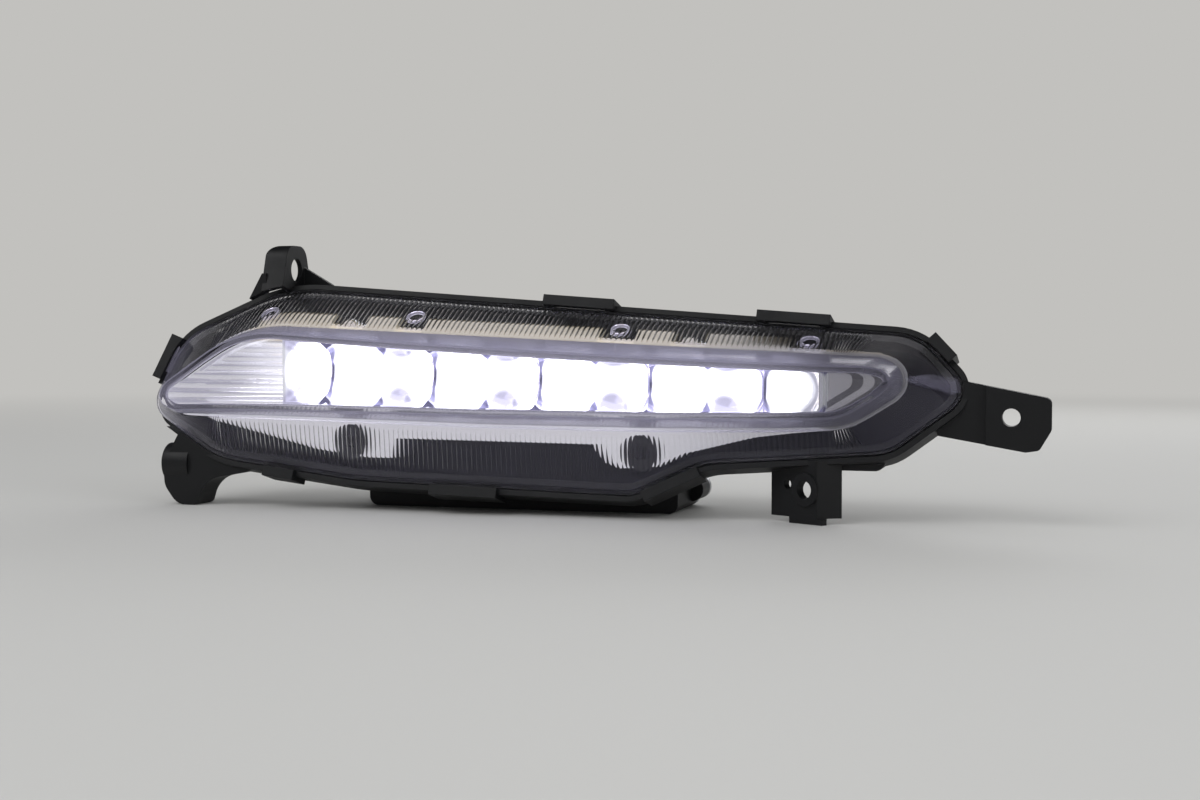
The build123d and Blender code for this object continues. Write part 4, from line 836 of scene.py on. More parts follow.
@dataclass
class NodeTool:
    """A Geometry Nodes tree with named inputs, and the way to run it on a piece.

    Attributes:
        name: Name of the tree.
        sizes: Its size inputs.
        materials: Its material inputs.
        tree: The tree itself.
        source: Node that gives the inputs.
    """

    name: str
    sizes: dict[str, float]
    materials: dict[str, bpy.types.Material]
    tree: bpy.types.NodeTree = field(init=False)
    source: bpy.types.Node = field(init=False)

    def __post_init__(self) -> None:
        """Make the empty tree with its inputs and its output."""
        self.tree = bpy.data.node_groups.new(self.name, "GeometryNodeTree")
        interface = self.tree.interface
        interface.new_socket("Geometry", in_out="INPUT", socket_type="NodeSocketGeometry")
        for size in self.sizes:
            interface.new_socket(size, in_out="INPUT", socket_type="NodeSocketFloat")
        for material in self.materials:
            interface.new_socket(material, in_out="INPUT", socket_type="NodeSocketMaterial")
        interface.new_socket("Geometry", in_out="OUTPUT", socket_type="NodeSocketGeometry")
        self.source = self.tree.nodes.new("NodeGroupInput")

    def add(self, kind: str, inputs: dict[str | int, Any] | None = None, **settings: Any) -> bpy.types.Node:
        """Add a node to the tree."""
        return add_node(self.tree, kind, inputs, **settings)

    def size(self, name: str) -> bpy.types.NodeSocket:
        """Give one of the named inputs."""
        return self.source.outputs[name]

    def end(self, geometry: bpy.types.NodeSocket, *marks: bpy.types.NodeSocket) -> None:
        """Close the tree with real geometry and its materials.

        Args:
            geometry: What the tree has made.
            marks: Which faces get the second material, the third and so on.
        """
        real = self.add("GeometryNodeRealizeInstances", {"Geometry": geometry})
        last = real.outputs["Geometry"]
        for material, mark in zip(self.materials, (True, *marks)):
            painted = self.add(
                "GeometryNodeSetMaterial",
                {"Geometry": last, "Selection": mark, "Material": self.source.outputs[material]},
            )
            last = painted.outputs["Geometry"]
        self.add("NodeGroupOutput", {"Geometry": last})

    def run(self, piece: bpy.types.Object) -> None:
        """Run the tree on a piece and keep the result as a plain mesh.

        Args:
            piece: Object that carries the start geometry.
        """
        modifier = piece.modifiers.new(self.name, "NODES")
        modifier.node_group = self.tree
        values = {**self.sizes, **self.materials}
        for item in self.tree.interface.items_tree:
            if item.in_out == "INPUT" and item.name in values:
                modifier[item.identifier] = values[item.name]
        graph = bpy.context.evaluated_depsgraph_get()
        made = bpy.data.meshes.new_from_object(piece.evaluated_get(graph))
        piece.modifiers.clear()
        piece.data = made


def new_object(name: str, data: bpy.types.Mesh | bpy.types.Light | bpy.types.Camera) -> bpy.types.Object:
    """Put a mesh, a lamp or a camera in the scene as an object at the origin.

    Args:
        name: Name of the object.
        data: What it holds. A mesh is already in its place.

    Returns:
        The object.
    """
    made = bpy.data.objects.new(name, data)
    bpy.context.scene.collection.objects.link(made)
    return made


def settle(piece: bpy.types.Object, node: str) -> None:
    """Make a finished piece ride on the lamp, hide the CAD node that it replaces and log how many faces it has.

    Args:
        piece: The finished piece.
        node: CAD node that it replaces.
    """
    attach(piece, BODY)
    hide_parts(node)
    LOG.info("built %s with %d faces", piece.name, len(piece.data.polygons))


def grown(corners: list[Corner], amount: float) -> list[Corner]:
    """Move the corners of an anticlockwise outline outwards, radii included.

    Args:
        corners: Corners as x, y and radius.
        amount: Distance, negative to draw the outline in.

    Returns:
        The moved corners.
    """
    normals = []
    for index, (x, y, _) in enumerate(corners):
        next_x, next_y, _ = corners[(index + 1) % len(corners)]
        length = math.hypot(next_x - x, next_y - y)
        normals.append(((next_y - y) / length, (x - next_x) / length))
    moved = []
    for index, (x, y, radius) in enumerate(corners):
        before, after = normals[index - 1], normals[index]
        share = amount / (1 + before[0] * after[0] + before[1] * after[1])
        bulges = before[0] * after[1] > before[1] * after[0]
        new_radius = max(LEAST_RADIUS, radius + (amount if bulges else -amount))
        moved.append((x + (before[0] + after[0]) * share, y + (before[1] + after[1]) * share, new_radius))
    return moved


def rounded(corners: list[Corner], steps: int = 14) -> np.ndarray:
    """Draw an outline with round corners as a closed run of points.

    Args:
        corners: Corners as x, y and radius.
        steps: Points on each corner's arc.

    Returns:
        Array of points, two columns.
    """
    points = []
    for index, (x, y, radius) in enumerate(corners):
        corner = np.array((x, y))
        back = np.array(corners[index - 1][:2]) - corner
        ahead = np.array(corners[(index + 1) % len(corners)][:2]) - corner
        back /= np.linalg.norm(back)
        ahead /= np.linalg.norm(ahead)
        half = math.acos(max(-1.0, min(1.0, float(back @ ahead)))) / 2
        middle = corner + (back + ahead) / np.linalg.norm(back + ahead) * radius / math.sin(half)
        start = corner + back * radius / math.tan(half) - middle
        end = corner + ahead * radius / math.tan(half) - middle
        sweep = math.atan2(start[0] * end[1] - start[1] * end[0], float(start @ end))
        for turn in np.linspace(0, sweep, steps):
            cos, sin = math.cos(turn), math.sin(turn)
            points.append(middle + (start[0] * cos - start[1] * sin, start[0] * sin + start[1] * cos))
    return np.array(points)


def reach(points: np.ndarray, starts: np.ndarray, headings: np.ndarray) -> np.ndarray:
    """Follow rays from inside a closed outline to where they meet it.

    Args:
        points: The outline.
        starts: Start of each ray.
        headings: Unit direction of each ray.

    Returns:
        The points where the rays meet the outline.
    """
    run = np.roll(points, -1, axis=0) - points
    gap = points[None] - starts[:, None]
    turn = headings[:, None, 0] * run[None, :, 1] - headings[:, None, 1] * run[None, :, 0]
    turn = np.where(np.abs(turn) < PARALLEL, PARALLEL, turn)
    distance = (gap[..., 0] * run[None, :, 1] - gap[..., 1] * run[None, :, 0]) / turn
    share = (gap[..., 0] * headings[:, None, 1] - gap[..., 1] * headings[:, None, 0]) / turn
    met = (share >= -RAY_SLACK) & (share <= 1 + RAY_SLACK) & (distance > 0)
    nearest = np.where(met, distance, np.inf).min(axis=1)
    return starts + headings * nearest[:, None]


@dataclass
class OuterLens:
    """Clear lens: a raised window on a fluted brim, with a leg that stands in the housing's groove.

    Outlines are corners with a radius. The edge is drawn in the leaning rim plane and the window
    is drawn from the front. Sections of the lens lie on rays that run from its spine to its edge.

    Attributes:
        edge: Outline of the brim's edge.
        window: Outline in which the raised window's flanks would end, draw past its foremost point.
        wall: Thickness of the moulding.
        front_y: Depth of the front face's foremost point.
        draw: How far the flanks' lines go on past that point, in depth.
        foot_y: Depth of the flanks' foot.
        foot_flare: How far that foot stands out from the window's outline.
        brim_stand: Height of the brim's edge over the rim plane.
        leg_depth: How far the leg goes down under that plane.
        apex_x: Place of the foremost point along the lamp.
        front_radius: Radius of the front face along the lamp.
        crown_radius: Radius of the front face across it.
        crown_z: Height of the foremost point.
        rim_lean: Angle in degrees by which the rim plane leans back.
        rim_low: Depth and height from which heights in that plane are measured.
        spine_left: Left end of the spine, along the lamp and in height.
        spine_right: Right end of the spine.
        outer_rounds: Radii at the outer skin's edge, flank's foot and window's edge.
        inner_rounds: The same on the inner skin.
        round_points: Points on each such radius.
        leg_rows: Rows of points that are added on the leg.
        outer_brim_rows: Rows that are added on the outer brim.
        brim_rows: Rows that are added on the inner brim, which carry the flutes.
        flank_rows: Rows that are added on the flank.
        spine_shares: Rows on the front face, as shares of the way from its edge to the spine.
        meet_rounds: Rounds in which the flank's end on the front face is found.
        merge: Distance under which points are one.
        wall_share: Mark from which a face belongs to the window's wall.
        sharp_angle: Angle in degrees from which an edge stays sharp.
        flute_pitch: Distance from flute to flute.
        flute_depth: Depth of a flute.
        flute_cuts: Rays for each flute.
        fan_radius: Radius at which the flutes round the two ends have their pitch.
        fluted_from: Left end of the flutes along the lamp.
        fluted_to: Right end of the flutes.
        flute_fade: Length over which the flutes fade at both ends.
        lug_reach: How far a lug stands out from the edge.
        lug_thickness: Thickness of a lug.
        lug_stand: Height of a lug over the rim plane.
        lugs: Lugs in the housing's clips: side of the edge, distance along it, length.
        rings: Clear rings on the upper brim's inner face, by their place along the lamp.
        ring_radius: Radius at the middle of a ring's wall.
        ring_wall: Thickness of that wall.
        ring_length: How far a ring stands in from the brim.
        ring_gap: Gap to the brim, so that their faces don't lie in each other.
        ring_facets: Faces round a ring.
        ring_rows: Rows over which the brim's slope is taken at a ring.
        ring_rays: Rays over which it is taken along the brim.
    """

    edge: list[Corner] = field(
        default_factory=lambda: [
            (-128.0, 85.1, 60.0),
            (-175.5, 63.5, 25.0),
            (-187.5, 32.0, 10.0),
            (-153.0, 10.8, 45.0),
            (-88.0, 2.7, 140.0),
            (30.0, -0.7, 18.0),
            (58.0, 12.7, 30.0),
            (129.0, 17.8, 20.0),
            (160.0, 41.8, 10.0),
            (139.0, 64.5, 24.0),
        ]
    )
    window: list[Corner] = field(
        default_factory=lambda: [
            (-133.0, 71.6, 55.0),
            (-155.0, 57.8, 40.0),
            (-174.6, 44.9, 2.4),
            (-110.0, 43.9, 300.0),
            (-30.0, 42.0, 600.0),
            (40.0, 41.5, 600.0),
            (85.0, 42.1, 400.0),
            (113.0, 43.2, 22.0),
            (132.5, 55.3, 3.0),
            (126.0, 59.0, 6.0),
        ]
    )
    wall: float = 2.4
    front_y: float = -46.6
    draw: float = 4.0
    foot_y: float = -26.0
    foot_flare: float = 5.5
    brim_stand: float = 1.0
    leg_depth: float = 6.5
    apex_x: float = 21.0
    front_radius: float = 1420.0
    crown_radius: float = 260.0
    crown_z: float = 54.0
    rim_lean: float = 14.5
    rim_low: Place = (-23.0, 10.0)
    spine_left: Place = (-150.0, 50.0)
    spine_right: Place = (108.0, 51.0)
    outer_rounds: tuple[float, ...] = (1.0, 1.5, 0.8)
    inner_rounds: tuple[float, ...] = (0.5, 1.5, 0.4)
    round_points: int = 5
    leg_rows: int = 1
    outer_brim_rows: int = 2
    brim_rows: int = 9
    flank_rows: int = 2
    spine_shares: tuple[float, ...] = (0.0, 0.12, 0.3, 0.5, 0.75, 1.0)
    meet_rounds: int = 12
    merge: float = 0.01
    wall_share: float = 0.7
    sharp_angle: float = 38.0
    flute_pitch: float = 2.1
    flute_depth: float = 0.33
    flute_cuts: int = 5
    fan_radius: float = 30.0
    fluted_from: float = -158.0
    fluted_to: float = 122.0
    flute_fade: float = 8.0
    lug_reach: float = 3.0
    lug_thickness: float = 1.4
    lug_stand: float = 0.3
    lugs: tuple[tuple[int, float, float], ...] = (
        (9, 137.0, 22.0),
        (9, 49.0, 21.0),
        (8, 21.0, 4.0),
        (1, 11.0, 12.0),
        (3, 31.0, 6.0),
        (4, 48.0, 21.0),
        (5, 16.0, 16.0),
    )
    rings: tuple[float, ...] = (-131.0, -65.2, 22.4, 98.0)
    ring_radius: float = 3.5
    ring_wall: float = 0.8
    ring_length: float = 1.2
    ring_gap: float = 0.1
    ring_facets: int = 40
    ring_rows: int = 2
    ring_rays: int = 8

    def front(self, x: np.ndarray, z: np.ndarray, inset: float) -> np.ndarray:
        """Give the depth of the crowned front face, drawn in by inset.

        Args:
            x: Places along the lamp.
            z: Heights.
            inset: Distance behind the outer face.

        Returns:
            The depth at each place.
        """
        crown = self.crown_radius - inset
        profile = self.front_y + inset + crown - np.sqrt(crown**2 - (z - self.crown_z) ** 2)
        axis_y = self.front_y + self.front_radius
        return axis_y - np.sqrt((axis_y - profile) ** 2 - (x - self.apex_x) ** 2)

    def columns(self) -> tuple[np.ndarray, np.ndarray, np.ndarray]:
        """Lay out the rays that cross the lens from its spine to its edge.

        Returns:
            Start and direction of each ray, and its place along the lens for the flutes.
        """
        cut = self.flute_pitch / self.flute_cuts
        count = round((self.spine_right[0] - self.spine_left[0]) / cut)
        fan = round(math.pi * self.fan_radius / self.flute_pitch) * self.flute_cuts
        share = np.arange(count) / count
        left, right = np.array(self.spine_left), np.array(self.spine_right)
        turn = math.pi / 2 - math.pi * np.arange(fan) / fan
        sweep = np.stack((np.cos(turn), np.sin(turn)), axis=1)
        above = np.tile((0.0, 1.0), (count, 1))
        starts = np.concatenate(
            (
                left + (right - left) * share[:, None],
                np.tile(right, (fan, 1)),
                right + (left - right) * share[:, None],
                np.tile(left, (fan, 1)),
            )
        )
        headings = np.concatenate((above, sweep, -above, -sweep))
        return starts, headings, np.arange(len(starts)) * cut

    def in_rim_plane(self, outline: np.ndarray, stand: float, rays: tuple[np.ndarray, np.ndarray]) -> np.ndarray:
        """Find where the rays meet an outline of the rim plane, raised by stand.

        Args:
            outline: Outline in the plane, along the lamp and up the plane.
            stand: Height over the plane.
            rays: Starts and headings of the rays.

        Returns:
            Points in space.
        """
        lean = math.radians(self.rim_lean)
        low_y, low_z = self.rim_low
        base_z = low_z + stand * math.sin(lean)
        flat = reach(np.stack((outline[:, 0], base_z + outline[:, 1] * math.cos(lean)), axis=1), *rays)
        up = (flat[:, 1] - base_z) / math.cos(lean)
        depth = low_y + up * math.sin(lean) - stand * math.cos(lean)
        return np.stack((flat[:, 0], depth, flat[:, 1]), axis=1)

    def profile(self, inset: float, rays: tuple[np.ndarray, np.ndarray]) -> list[np.ndarray]:
        """Find the corners of the lens's section on each ray, with its faces drawn in by inset.

        Args:
            inset: 0 for the outer skin, the wall for the inner one.
            rays: Starts and headings of the rays.

        Returns:
            The leg's foot, the edge, the flank's foot, the window's edge and points up to the spine.
        """
        edge = rounded(grown(self.edge, -inset))
        leg = self.in_rim_plane(edge, -self.leg_depth, rays)
        rim = self.in_rim_plane(edge, self.brim_stand - inset, rays)
        foot = reach(rounded(grown(self.window, self.foot_flare - inset)), *rays)
        head = reach(rounded(grown(self.window, -inset)), *rays)
        foot_y = self.foot_y + inset
        head_y = self.front_y - self.draw + inset
        share = np.full(len(foot), 0.5)
        for _ in range(self.meet_rounds):
            met = foot + (head - foot) * share[:, None]
            share = (self.front(met[:, 0], met[:, 1], inset) - foot_y) / (head_y - foot_y)
        met = foot + (head - foot) * share[:, None]
        corners = [leg, rim, np.insert(foot, 1, foot_y, axis=1)]
        for part in self.spine_shares:
            flat = met + (rays[0] - met) * part
            depth = self.front(flat[:, 0], flat[:, 1], inset)
            corners.append(np.stack((flat[:, 0], depth, flat[:, 1]), axis=1))
        return corners

    def skin(
        self, corners: list[np.ndarray], rounds: tuple[float, ...], cuts: tuple[int, ...]
    ) -> tuple[np.ndarray, list[int]]:
        """Turn section corners to rows of points, with round corners.

        Args:
            corners: Corners on each ray.
            rounds: Radius at each corner after the first, as far as they go.
            cuts: Number of rows added between each two corners, as far as they go.

        Returns:
            Rows of points from the leg's foot to the spine, and the row that ends each corner.
        """
        rows = [corners[0]]
        ends = [0]
        last = corners[0]
        for index in range(1, len(corners)):
            corner = corners[index]
            radius = rounds[index - 1] if index - 1 < len(rounds) else 0.0
            count = cuts[index - 1] if index - 1 < len(cuts) else 0
            arc = [corner]
            if radius:
                back = last - corner
                ahead = corners[index + 1] - corner
                start = corner + back / np.linalg.norm(back, axis=1, keepdims=True) * radius
                end = corner + ahead / np.linalg.norm(ahead, axis=1, keepdims=True) * radius
                arc = [
                    start * (1 - t) ** 2 + corner * 2 * t * (1 - t) + end * t**2
                    for t in np.linspace(0, 1, self.round_points)
                ]
            for cut in range(1, count + 1):
                rows.append(last + (arc[0] - last) * cut / (count + 1))
            rows.extend(arc)
            ends.append(len(rows) - 1)
            last = arc[-1]
        return np.array(rows), ends

    def skins(self) -> tuple[np.ndarray, np.ndarray, np.ndarray, np.ndarray, int]:
        """Lay out the outer and the inner skin, with marks on their points.

        Returns:
            Rows of points over the outer skin and back over the inner one, then for each point its
            place along the lens, its share of the flutes and its share of the window's wall, and the
            row in the middle of the inner brim.
        """
        starts, headings, station = self.columns()
        rays = (starts, headings)
        outer, outer_ends = self.skin(
            self.profile(0.0, rays), self.outer_rounds, (self.leg_rows, self.outer_brim_rows, self.flank_rows)
        )
        inner, inner_ends = self.skin(
            self.profile(self.wall, rays), self.inner_rounds, (self.leg_rows, self.brim_rows, self.flank_rows)
        )
        rows = np.concatenate((outer[::-1], inner))
        first_brim = len(outer) + inner_ends[1] + 1
        middle = first_brim + self.brim_rows // 2
        x = rows[middle, :, 0]
        ends = np.clip((x - self.fluted_from) / self.flute_fade, 0, 1)
        ends *= np.clip((self.fluted_to - x) / self.flute_fade, 0, 1)
        fluted = np.zeros(rows.shape[:2])
        fluted[first_brim : first_brim + self.brim_rows] = ends
        for column in self.ring_columns(rows[middle]):
            from_ring = np.linalg.norm(rows - rows[middle, column], axis=2)
            fluted *= np.clip((from_ring - self.ring_radius) / self.ring_wall, 0, 1)
        wall = np.zeros(rows.shape[:2])
        wall[len(outer) - 1 - outer_ends[3] : len(outer) - outer_ends[2]] = 1
        wall[len(outer) + inner_ends[2] : len(outer) + inner_ends[3] + 1] = 1
        return rows, np.tile(station, (len(rows), 1)), fluted, wall, middle

    def ring_columns(self, row: np.ndarray) -> list[int]:
        """Find the rays on which the rings stand.

        Args:
            row: Points in the middle of the inner brim.

        Returns:
            Number of the ray of each ring.
        """
        upper = np.flatnonzero(row[:, 2] > row[:, 2].mean())
        return [int(upper[np.abs(row[upper, 0] - x).argmin()]) for x in self.rings]

    def shell(self) -> bpy.types.Mesh:
        """Make the closed lens, with marks that say where its flutes run.

        Returns:
            The mesh, before its flutes are cut.
        """
        rows, station, fluted, wall, _ = self.skins()
        height, width = rows.shape[:2]
        corner = np.arange(height * width).reshape(height, width)
        after = np.roll(corner, -1, axis=1)
        faces = np.stack((corner[:-1], after[:-1], after[1:], corner[1:]), axis=2).reshape(-1, 4)
        mesh = bpy.data.meshes.new("outer_lens_clear")
        mesh.from_pydata((rows.reshape(-1, 3) * MM).tolist(), [], faces.tolist())
        for name, values in (("station", station), ("fluted", fluted), ("wall", wall)):
            mesh.attributes.new(name, "FLOAT", "POINT").data.foreach_set("value", values.ravel().astype(np.float32))
        work = bmesh.new()
        work.from_mesh(mesh)
        bmesh.ops.remove_doubles(work, verts=work.verts, dist=self.merge * MM)
        bmesh.ops.recalc_face_normals(work, faces=work.faces)
        work.to_mesh(mesh)
        work.free()
        return mesh

    def flutes(self, palette: Palette) -> NodeTool:
        """Make the tree that cuts round flutes in the brim's inner face.

        Args:
            palette: The finishes.

        Returns:
            The tree.
        """
        tool = NodeTool(
            "lens_flutes",
            {"Pitch": self.flute_pitch, "Depth": self.flute_depth * MM},
            {"Brim": palette.of("lens_clear"), "Wall": palette.of("lens_wall")},
        )
        marks = {
            name: tool.add("GeometryNodeInputNamedAttribute", {"Name": name}, data_type="FLOAT").outputs["Attribute"]
            for name in ("station", "fluted", "wall")
        }
        sizes = {"pitch": tool.size("Pitch"), "depth": tool.size("Depth")}
        found = work_out(
            tool.tree,
            {**marks, **sizes},
            (
                ("turns", "DIVIDE", ("station", "pitch")),
                ("angle", "MULTIPLY", ("turns", math.pi)),
                ("wave", "SINE", ("angle",)),
                ("ridge", "ABSOLUTE", ("wave",)),
                ("deep", "MULTIPLY", ("ridge", "depth")),
                ("marked", "MULTIPLY", ("deep", "fluted")),
                ("inwards", "MULTIPLY", ("marked", -1.0)),
                ("on_wall", "GREATER_THAN", ("wall", self.wall_share)),
            ),
        )
        normal = tool.add("GeometryNodeInputNormal")
        offset = tool.add(
            "ShaderNodeVectorMath", {0: normal.outputs[0], "Scale": found["inwards"]}, operation="SCALE"
        )
        moved = tool.add(
            "GeometryNodeSetPosition",
            {"Geometry": tool.source.outputs["Geometry"], "Offset": offset.outputs[0]},
        )
        tool.end(moved.outputs["Geometry"], found["on_wall"])
        return tool

    def marked_points(
        self, name: str, places: list[Vector], turns: list[Euler], lengths: list[float]
    ) -> bpy.types.Mesh:
        """Make points that say where small pieces stand, how they are turned and how long they are.

        Args:
            name: Name of the mesh.
            places: Places in metres.
            turns: Turn at each place.
            lengths: Length at each place in metres.

        Returns:
            The mesh of points.
        """
        mesh = bpy.data.meshes.new(name)
        mesh.from_pydata([tuple(place) for place in places], [], [])
        flat = [angle for turn in turns for angle in turn]
        mesh.attributes.new("turn", "FLOAT_VECTOR", "POINT").data.foreach_set("vector", flat)
        mesh.attributes.new("length", "FLOAT", "POINT").data.foreach_set("value", lengths)
        return mesh

    def lug_points(self) -> bpy.types.Mesh:
        """Mark the lugs in the clips.

        Returns:
            A mesh of points.
        """
        lean = math.radians(self.rim_lean)
        plane = Matrix(
            (
                (1, 0, 0),
                (0, math.sin(lean), -math.cos(lean)),
                (0, math.cos(lean), math.sin(lean)),
            )
        )
        low = Vector((0, *self.rim_low))
        places, turns = [], []
        for side, along, _ in self.lugs:
            x, y, _ = self.edge[side]
            next_x, next_y, _ = self.edge[(side + 1) % len(self.edge)]
            run = Vector((next_x - x, next_y - y, 0)).normalized()
            out = Vector((run.y, -run.x, 0))
            stand = self.lug_stand + self.lug_thickness / 2
            flat = Vector((x, y, stand)) + run * along + out * self.lug_reach / 2
            places.append((low + plane @ flat) * MM)
            turns.append((plane @ Matrix.Rotation(math.atan2(run.y, run.x), 3, "Z")).to_euler())
        return self.marked_points("lens_lugs", places, turns, [lug[2] * MM for lug in self.lugs])

    def ring_points(self) -> bpy.types.Mesh:
        """Mark the rings on the upper brim's inner face.

        Returns:
            A mesh of points.
        """
        rows, _, _, _, middle = self.skins()
        places, turns = [], []
        for column in self.ring_columns(rows[middle]):
            here = Vector(rows[middle, column])
            down = Vector(rows[middle + self.ring_rows, column]) - here
            along = Vector(rows[middle, column + self.ring_rays]) - here
            inwards = along.cross(down).normalized()
            if inwards.y < 0:
                inwards.negate()
            places.append((here + inwards * (self.ring_length / 2 + self.ring_gap)) * MM)
            turns.append(inwards.to_track_quat("Z", "Y").to_euler())
        return self.marked_points("lens_rings", places, turns, [self.ring_length * MM] * len(places))

    def placed(self, tool: NodeTool, part: bpy.types.Node, *, stretched: bool) -> NodeTool:
        """Close a tree with one copy of a part on each point.

        Args:
            tool: The tree.
            part: Node that makes the part.
            stretched: Whether each copy is stretched along its own X to the point's length.

        Returns:
            The tree.
        """
        turn = tool.add("GeometryNodeInputNamedAttribute", {"Name": "turn"}, data_type="FLOAT_VECTOR")
        rotation = tool.add("FunctionNodeEulerToRotation", {0: turn.outputs["Attribute"]})
        length = tool.add("GeometryNodeInputNamedAttribute", {"Name": "length"}, data_type="FLOAT")
        size = tool.add(
            "ShaderNodeCombineXYZ", {0: length.outputs["Attribute"] if stretched else 1.0, 1: 1.0, 2: 1.0}
        )
        copies = tool.add(
            "GeometryNodeInstanceOnPoints",
            {
                "Points": tool.source.outputs["Geometry"],
                "Instance": part.outputs[0],
                "Rotation": rotation.outputs[0],
                "Scale": size.outputs[0],
            },
        )
        tool.end(copies.outputs[0])
        return tool

    def lug_blocks(self, palette: Palette) -> NodeTool:
        """Make the tree that puts a block of the right length on each lug's point.

        Args:
            palette: The finishes.

        Returns:
            The tree.
        """
        tool = NodeTool(
            "lens_lug_blocks",
            {"Reach": self.lug_reach * MM, "Thickness": self.lug_thickness * MM},
            {"Clear": palette.of("lens_clear")},
        )
        size = tool.add("ShaderNodeCombineXYZ", {0: 1.0, 1: tool.size("Reach"), 2: tool.size("Thickness")})
        block = tool.add("GeometryNodeMeshCube", {"Size": size.outputs[0]})
        return self.placed(tool, block, stretched=True)

    def ring_tubes(self, palette: Palette) -> NodeTool:
        """Make the tree that puts a short tube on each ring's point.

        Args:
            palette: The finishes.

        Returns:
            The tree.
        """
        tool = NodeTool(
            "lens_ring_tubes",
            {"Radius": self.ring_radius * MM, "Wall": self.ring_wall * MM, "Length": self.ring_length * MM},
            {"Clear": palette.of("lens_ring")},
        )
        path = tool.add(
            "GeometryNodeCurvePrimitiveCircle", {"Resolution": self.ring_facets, "Radius": tool.size("Radius")}
        )
        section = tool.add(
            "GeometryNodeCurvePrimitiveQuadrilateral", {"Width": tool.size("Wall"), "Height": tool.size("Length")}
        )
        tube = tool.add(
            "GeometryNodeCurveToMesh", {"Curve": path.outputs[0], "Profile Curve": section.outputs[0]}
        )
        return self.placed(tool, tube, stretched=False)

    def build(self, palette: Palette) -> None:
        """Build the lens with its lugs and rings in place of the CAD lens.

        Args:
            palette: The finishes.
        """
        for name, start, tool, smooth in (
            ("lens_fluted", self.shell(), self.flutes(palette), True),
            ("lens_lugs", self.lug_points(), self.lug_blocks(palette), False),
            ("lens_rings", self.ring_points(), self.ring_tubes(palette), True),
        ):
            piece = new_object(name, start)
            tool.run(piece)
            if smooth:
                piece.data.shade_smooth()
                piece.data.set_sharp_from_angle(angle=math.radians(self.sharp_angle))
            piece.visible_shadow = False
            settle(piece, "outer_lens")


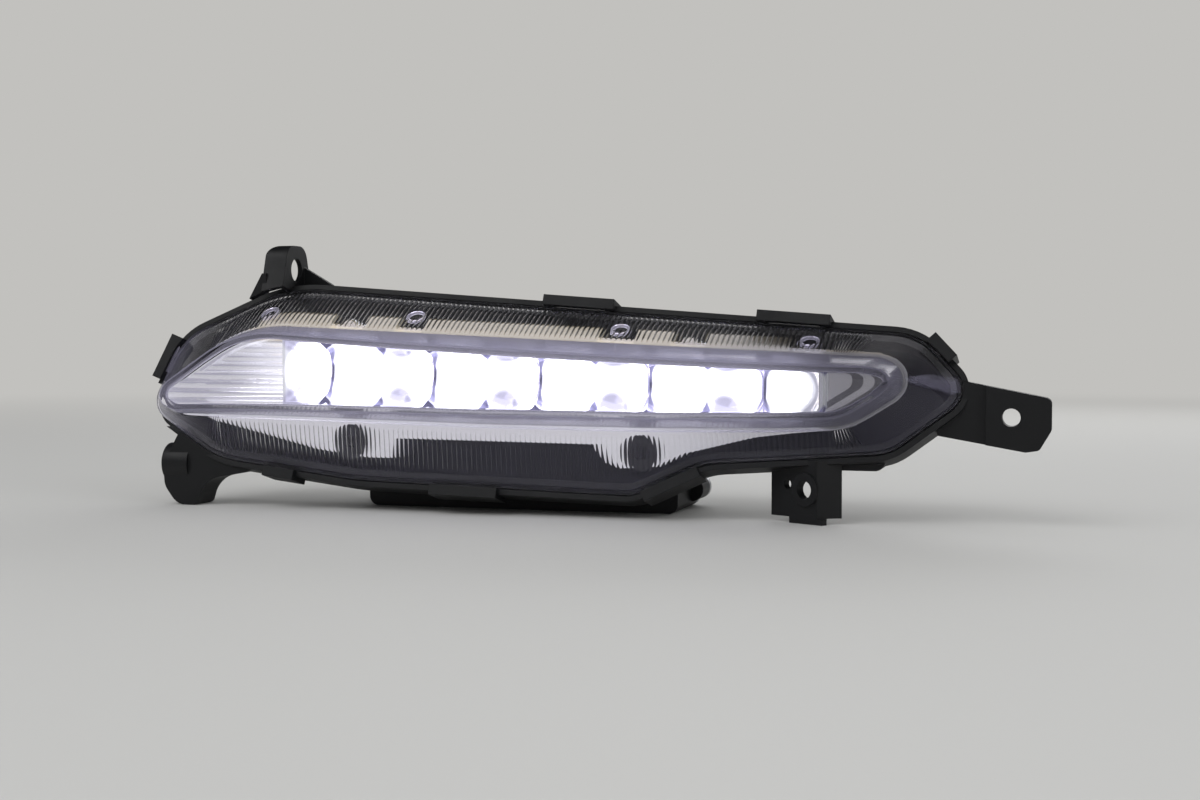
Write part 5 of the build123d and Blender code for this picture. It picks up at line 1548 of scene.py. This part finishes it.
@dataclass
class Studio:
    """Plain pale floor, soft light and the camera, in metres.

    Attributes:
        floor_size: Side of the floor.
        floor_colour: Colour of its paint.
        floor_roughness: Roughness of that paint.
        floor_blend: Distances between which the floor goes over to the backdrop.
        backdrop_colour: Colour that is seen behind the lamp.
        horizon_colour: Colour that shiny surfaces mirror from the sides.
        overhead_colour: Colour that they mirror from above.
        overhead_blend: Upward shares of a heading between which the one goes over to the other.
        ambient: Strength of the even light.
        soft_boxes: Name, place, two sides and power in watts of each soft box.
        aim: Point that the soft boxes face.
        camera_place: Place of the camera.
        camera_turn: Angle in degrees by which it looks to the left.
        camera_dip: Angle in degrees by which it looks down.
        lens: Its focal length in millimetres.
        sensor: Width of its sensor in millimetres.
        near_clip: Nearest distance that it shows.
    """

    floor_size: float = 14.0
    floor_colour: str = "#cbcbc9"
    floor_roughness: float = 0.75
    floor_blend: Place = (0.35, 1.6)
    backdrop_colour: str = "#c2c1be"
    horizon_colour: str = "#6f6f72"
    overhead_colour: str = "#38383b"
    overhead_blend: Place = (0.12, 0.5)
    ambient: float = 0.5
    soft_boxes: tuple[tuple[str, Corner, Place, float], ...] = (
        ("key_soft_box", (-0.55, -0.95, 1.05), (1.3, 0.9), 9.0),
        ("fill_soft_box", (1.1, -0.6, 0.6), (0.8, 0.8), 3.0),
        ("back_strip", (0.2, 1.1, 0.5), (1.4, 0.3), 4.0),
    )
    aim: Corner = (0.0, 0.0, 0.05)
    camera_place: Corner = (0.2012, -0.6502, 0.0723)
    camera_turn: float = 16.4
    camera_dip: float = 2.23
    lens: float = 50.0
    sensor: float = 36.0
    near_clip: float = 0.01

    def floor(self) -> None:
        """Lay the floor."""
        half = self.floor_size / 2
        mesh = bpy.data.meshes.new("floor")
        mesh.from_pydata(
            [(-half, -half, 0), (half, -half, 0), (half, half, 0), (-half, half, 0)], [], [(0, 1, 2, 3)]
        )
        floor = new_object("floor", mesh)
        matt = bpy.data.materials.new("floor_matt_paint")
        tree = empty_tree(matt)
        place = add_node(tree, "ShaderNodeTexCoord").outputs["Object"]
        distance = add_node(tree, "ShaderNodeVectorMath", {0: place}, operation="LENGTH").outputs["Value"]
        path = add_node(tree, "ShaderNodeLightPath").outputs
        share = work_out(
            tree,
            {"distance": distance, "camera": path["Is Camera Ray"], "through": path["Is Transmission Ray"]},
            (
                ("far", "SMOOTHSTEP", ("distance", *self.floor_blend)),
                ("seen", "MAXIMUM", ("camera", "through")),
                ("share", "MULTIPLY", ("far", "seen")),
            ),
        )["share"]
        paint = add_node(
            tree,
            "ShaderNodeBsdfPrincipled",
            {"Base Color": linear(self.floor_colour), "Roughness": self.floor_roughness},
        )
        backdrop = add_node(tree, "ShaderNodeEmission", {"Color": linear(self.backdrop_colour), "Strength": 1.0})
        mixed = add_node(tree, "ShaderNodeMixShader", {0: share, 1: paint.outputs[0], 2: backdrop.outputs[0]})
        add_node(tree, "ShaderNodeOutputMaterial", {"Surface": mixed.outputs[0]})
        mesh.materials.append(matt)

    def world(self) -> None:
        """Fill the surroundings with an even light, and with a darker top for what is mirrored."""
        world = bpy.data.worlds.new("studio")
        bpy.context.scene.world = world
        tree = empty_tree(world)
        path = add_node(tree, "ShaderNodeLightPath").outputs
        heading = add_node(tree, "ShaderNodeTexCoord").outputs["Generated"]
        up = add_node(tree, "ShaderNodeSeparateXYZ", {"Vector": heading}).outputs["Z"]
        found = work_out(
            tree,
            {"camera": path["Is Camera Ray"], "through": path["Is Transmission Ray"], "up": up},
            (
                ("seen", "MAXIMUM", ("camera", "through")),
                ("overhead", "SMOOTHSTEP", ("up", *self.overhead_blend)),
            ),
        )
        mirrored = add_node(
            tree,
            "ShaderNodeMix",
            {"Factor": found["overhead"], 6: linear(self.horizon_colour), 7: linear(self.overhead_colour)},
            data_type="RGBA",
        )
        light = add_node(tree, "ShaderNodeBackground", {"Color": (1, 1, 1, 1), "Strength": self.ambient})
        gloss = add_node(tree, "ShaderNodeBackground", {"Color": mirrored.outputs[2], "Strength": 1.0})
        shown = add_node(tree, "ShaderNodeBackground", {"Color": linear(self.backdrop_colour), "Strength": 1.0})
        lit = add_node(
            tree, "ShaderNodeMixShader", {0: path["Is Glossy Ray"], 1: light.outputs[0], 2: gloss.outputs[0]}
        )
        mixed = add_node(tree, "ShaderNodeMixShader", {0: found["seen"], 1: lit.outputs[0], 2: shown.outputs[0]})
        add_node(tree, "ShaderNodeOutputWorld", {"Surface": mixed.outputs[0]})

    def lamps(self) -> None:
        """Hang the soft boxes so that they face the object."""
        for name, place, sides, power in self.soft_boxes:
            data = bpy.data.lights.new(name, "AREA")
            data.shape = "RECTANGLE"
            data.size, data.size_y = sides
            data.energy = power
            lamp = new_object(name, data)
            lamp.location = place
            lamp.rotation_euler = (Vector(self.aim) - Vector(place)).to_track_quat("-Z", "Y").to_euler()

    def camera(self) -> None:
        """Put the camera where the photograph was taken from."""
        data = bpy.data.cameras.new("camera")
        data.lens = self.lens
        data.sensor_width = self.sensor
        data.clip_start = self.near_clip
        camera = new_object("camera", data)
        camera.location = self.camera_place
        camera.rotation_euler = Euler((math.radians(90 - self.camera_dip), 0, math.radians(self.camera_turn)))
        bpy.context.scene.camera = camera

    def build(self) -> None:
        """Set up floor, light and camera."""
        self.floor()
        self.world()
        self.lamps()
        self.camera()
        bpy.context.scene.view_settings.view_transform = "Standard"


def main() -> None:
    """Dress the CAD nodes, build the lens, and set up the studio."""
    logging.basicConfig(level=logging.INFO, format="%(message)s")
    palette = Palette()
    palette.dress_nodes()
    OuterLens().build(palette)
    Studio().build()


if __name__ == "__main__":
    main()
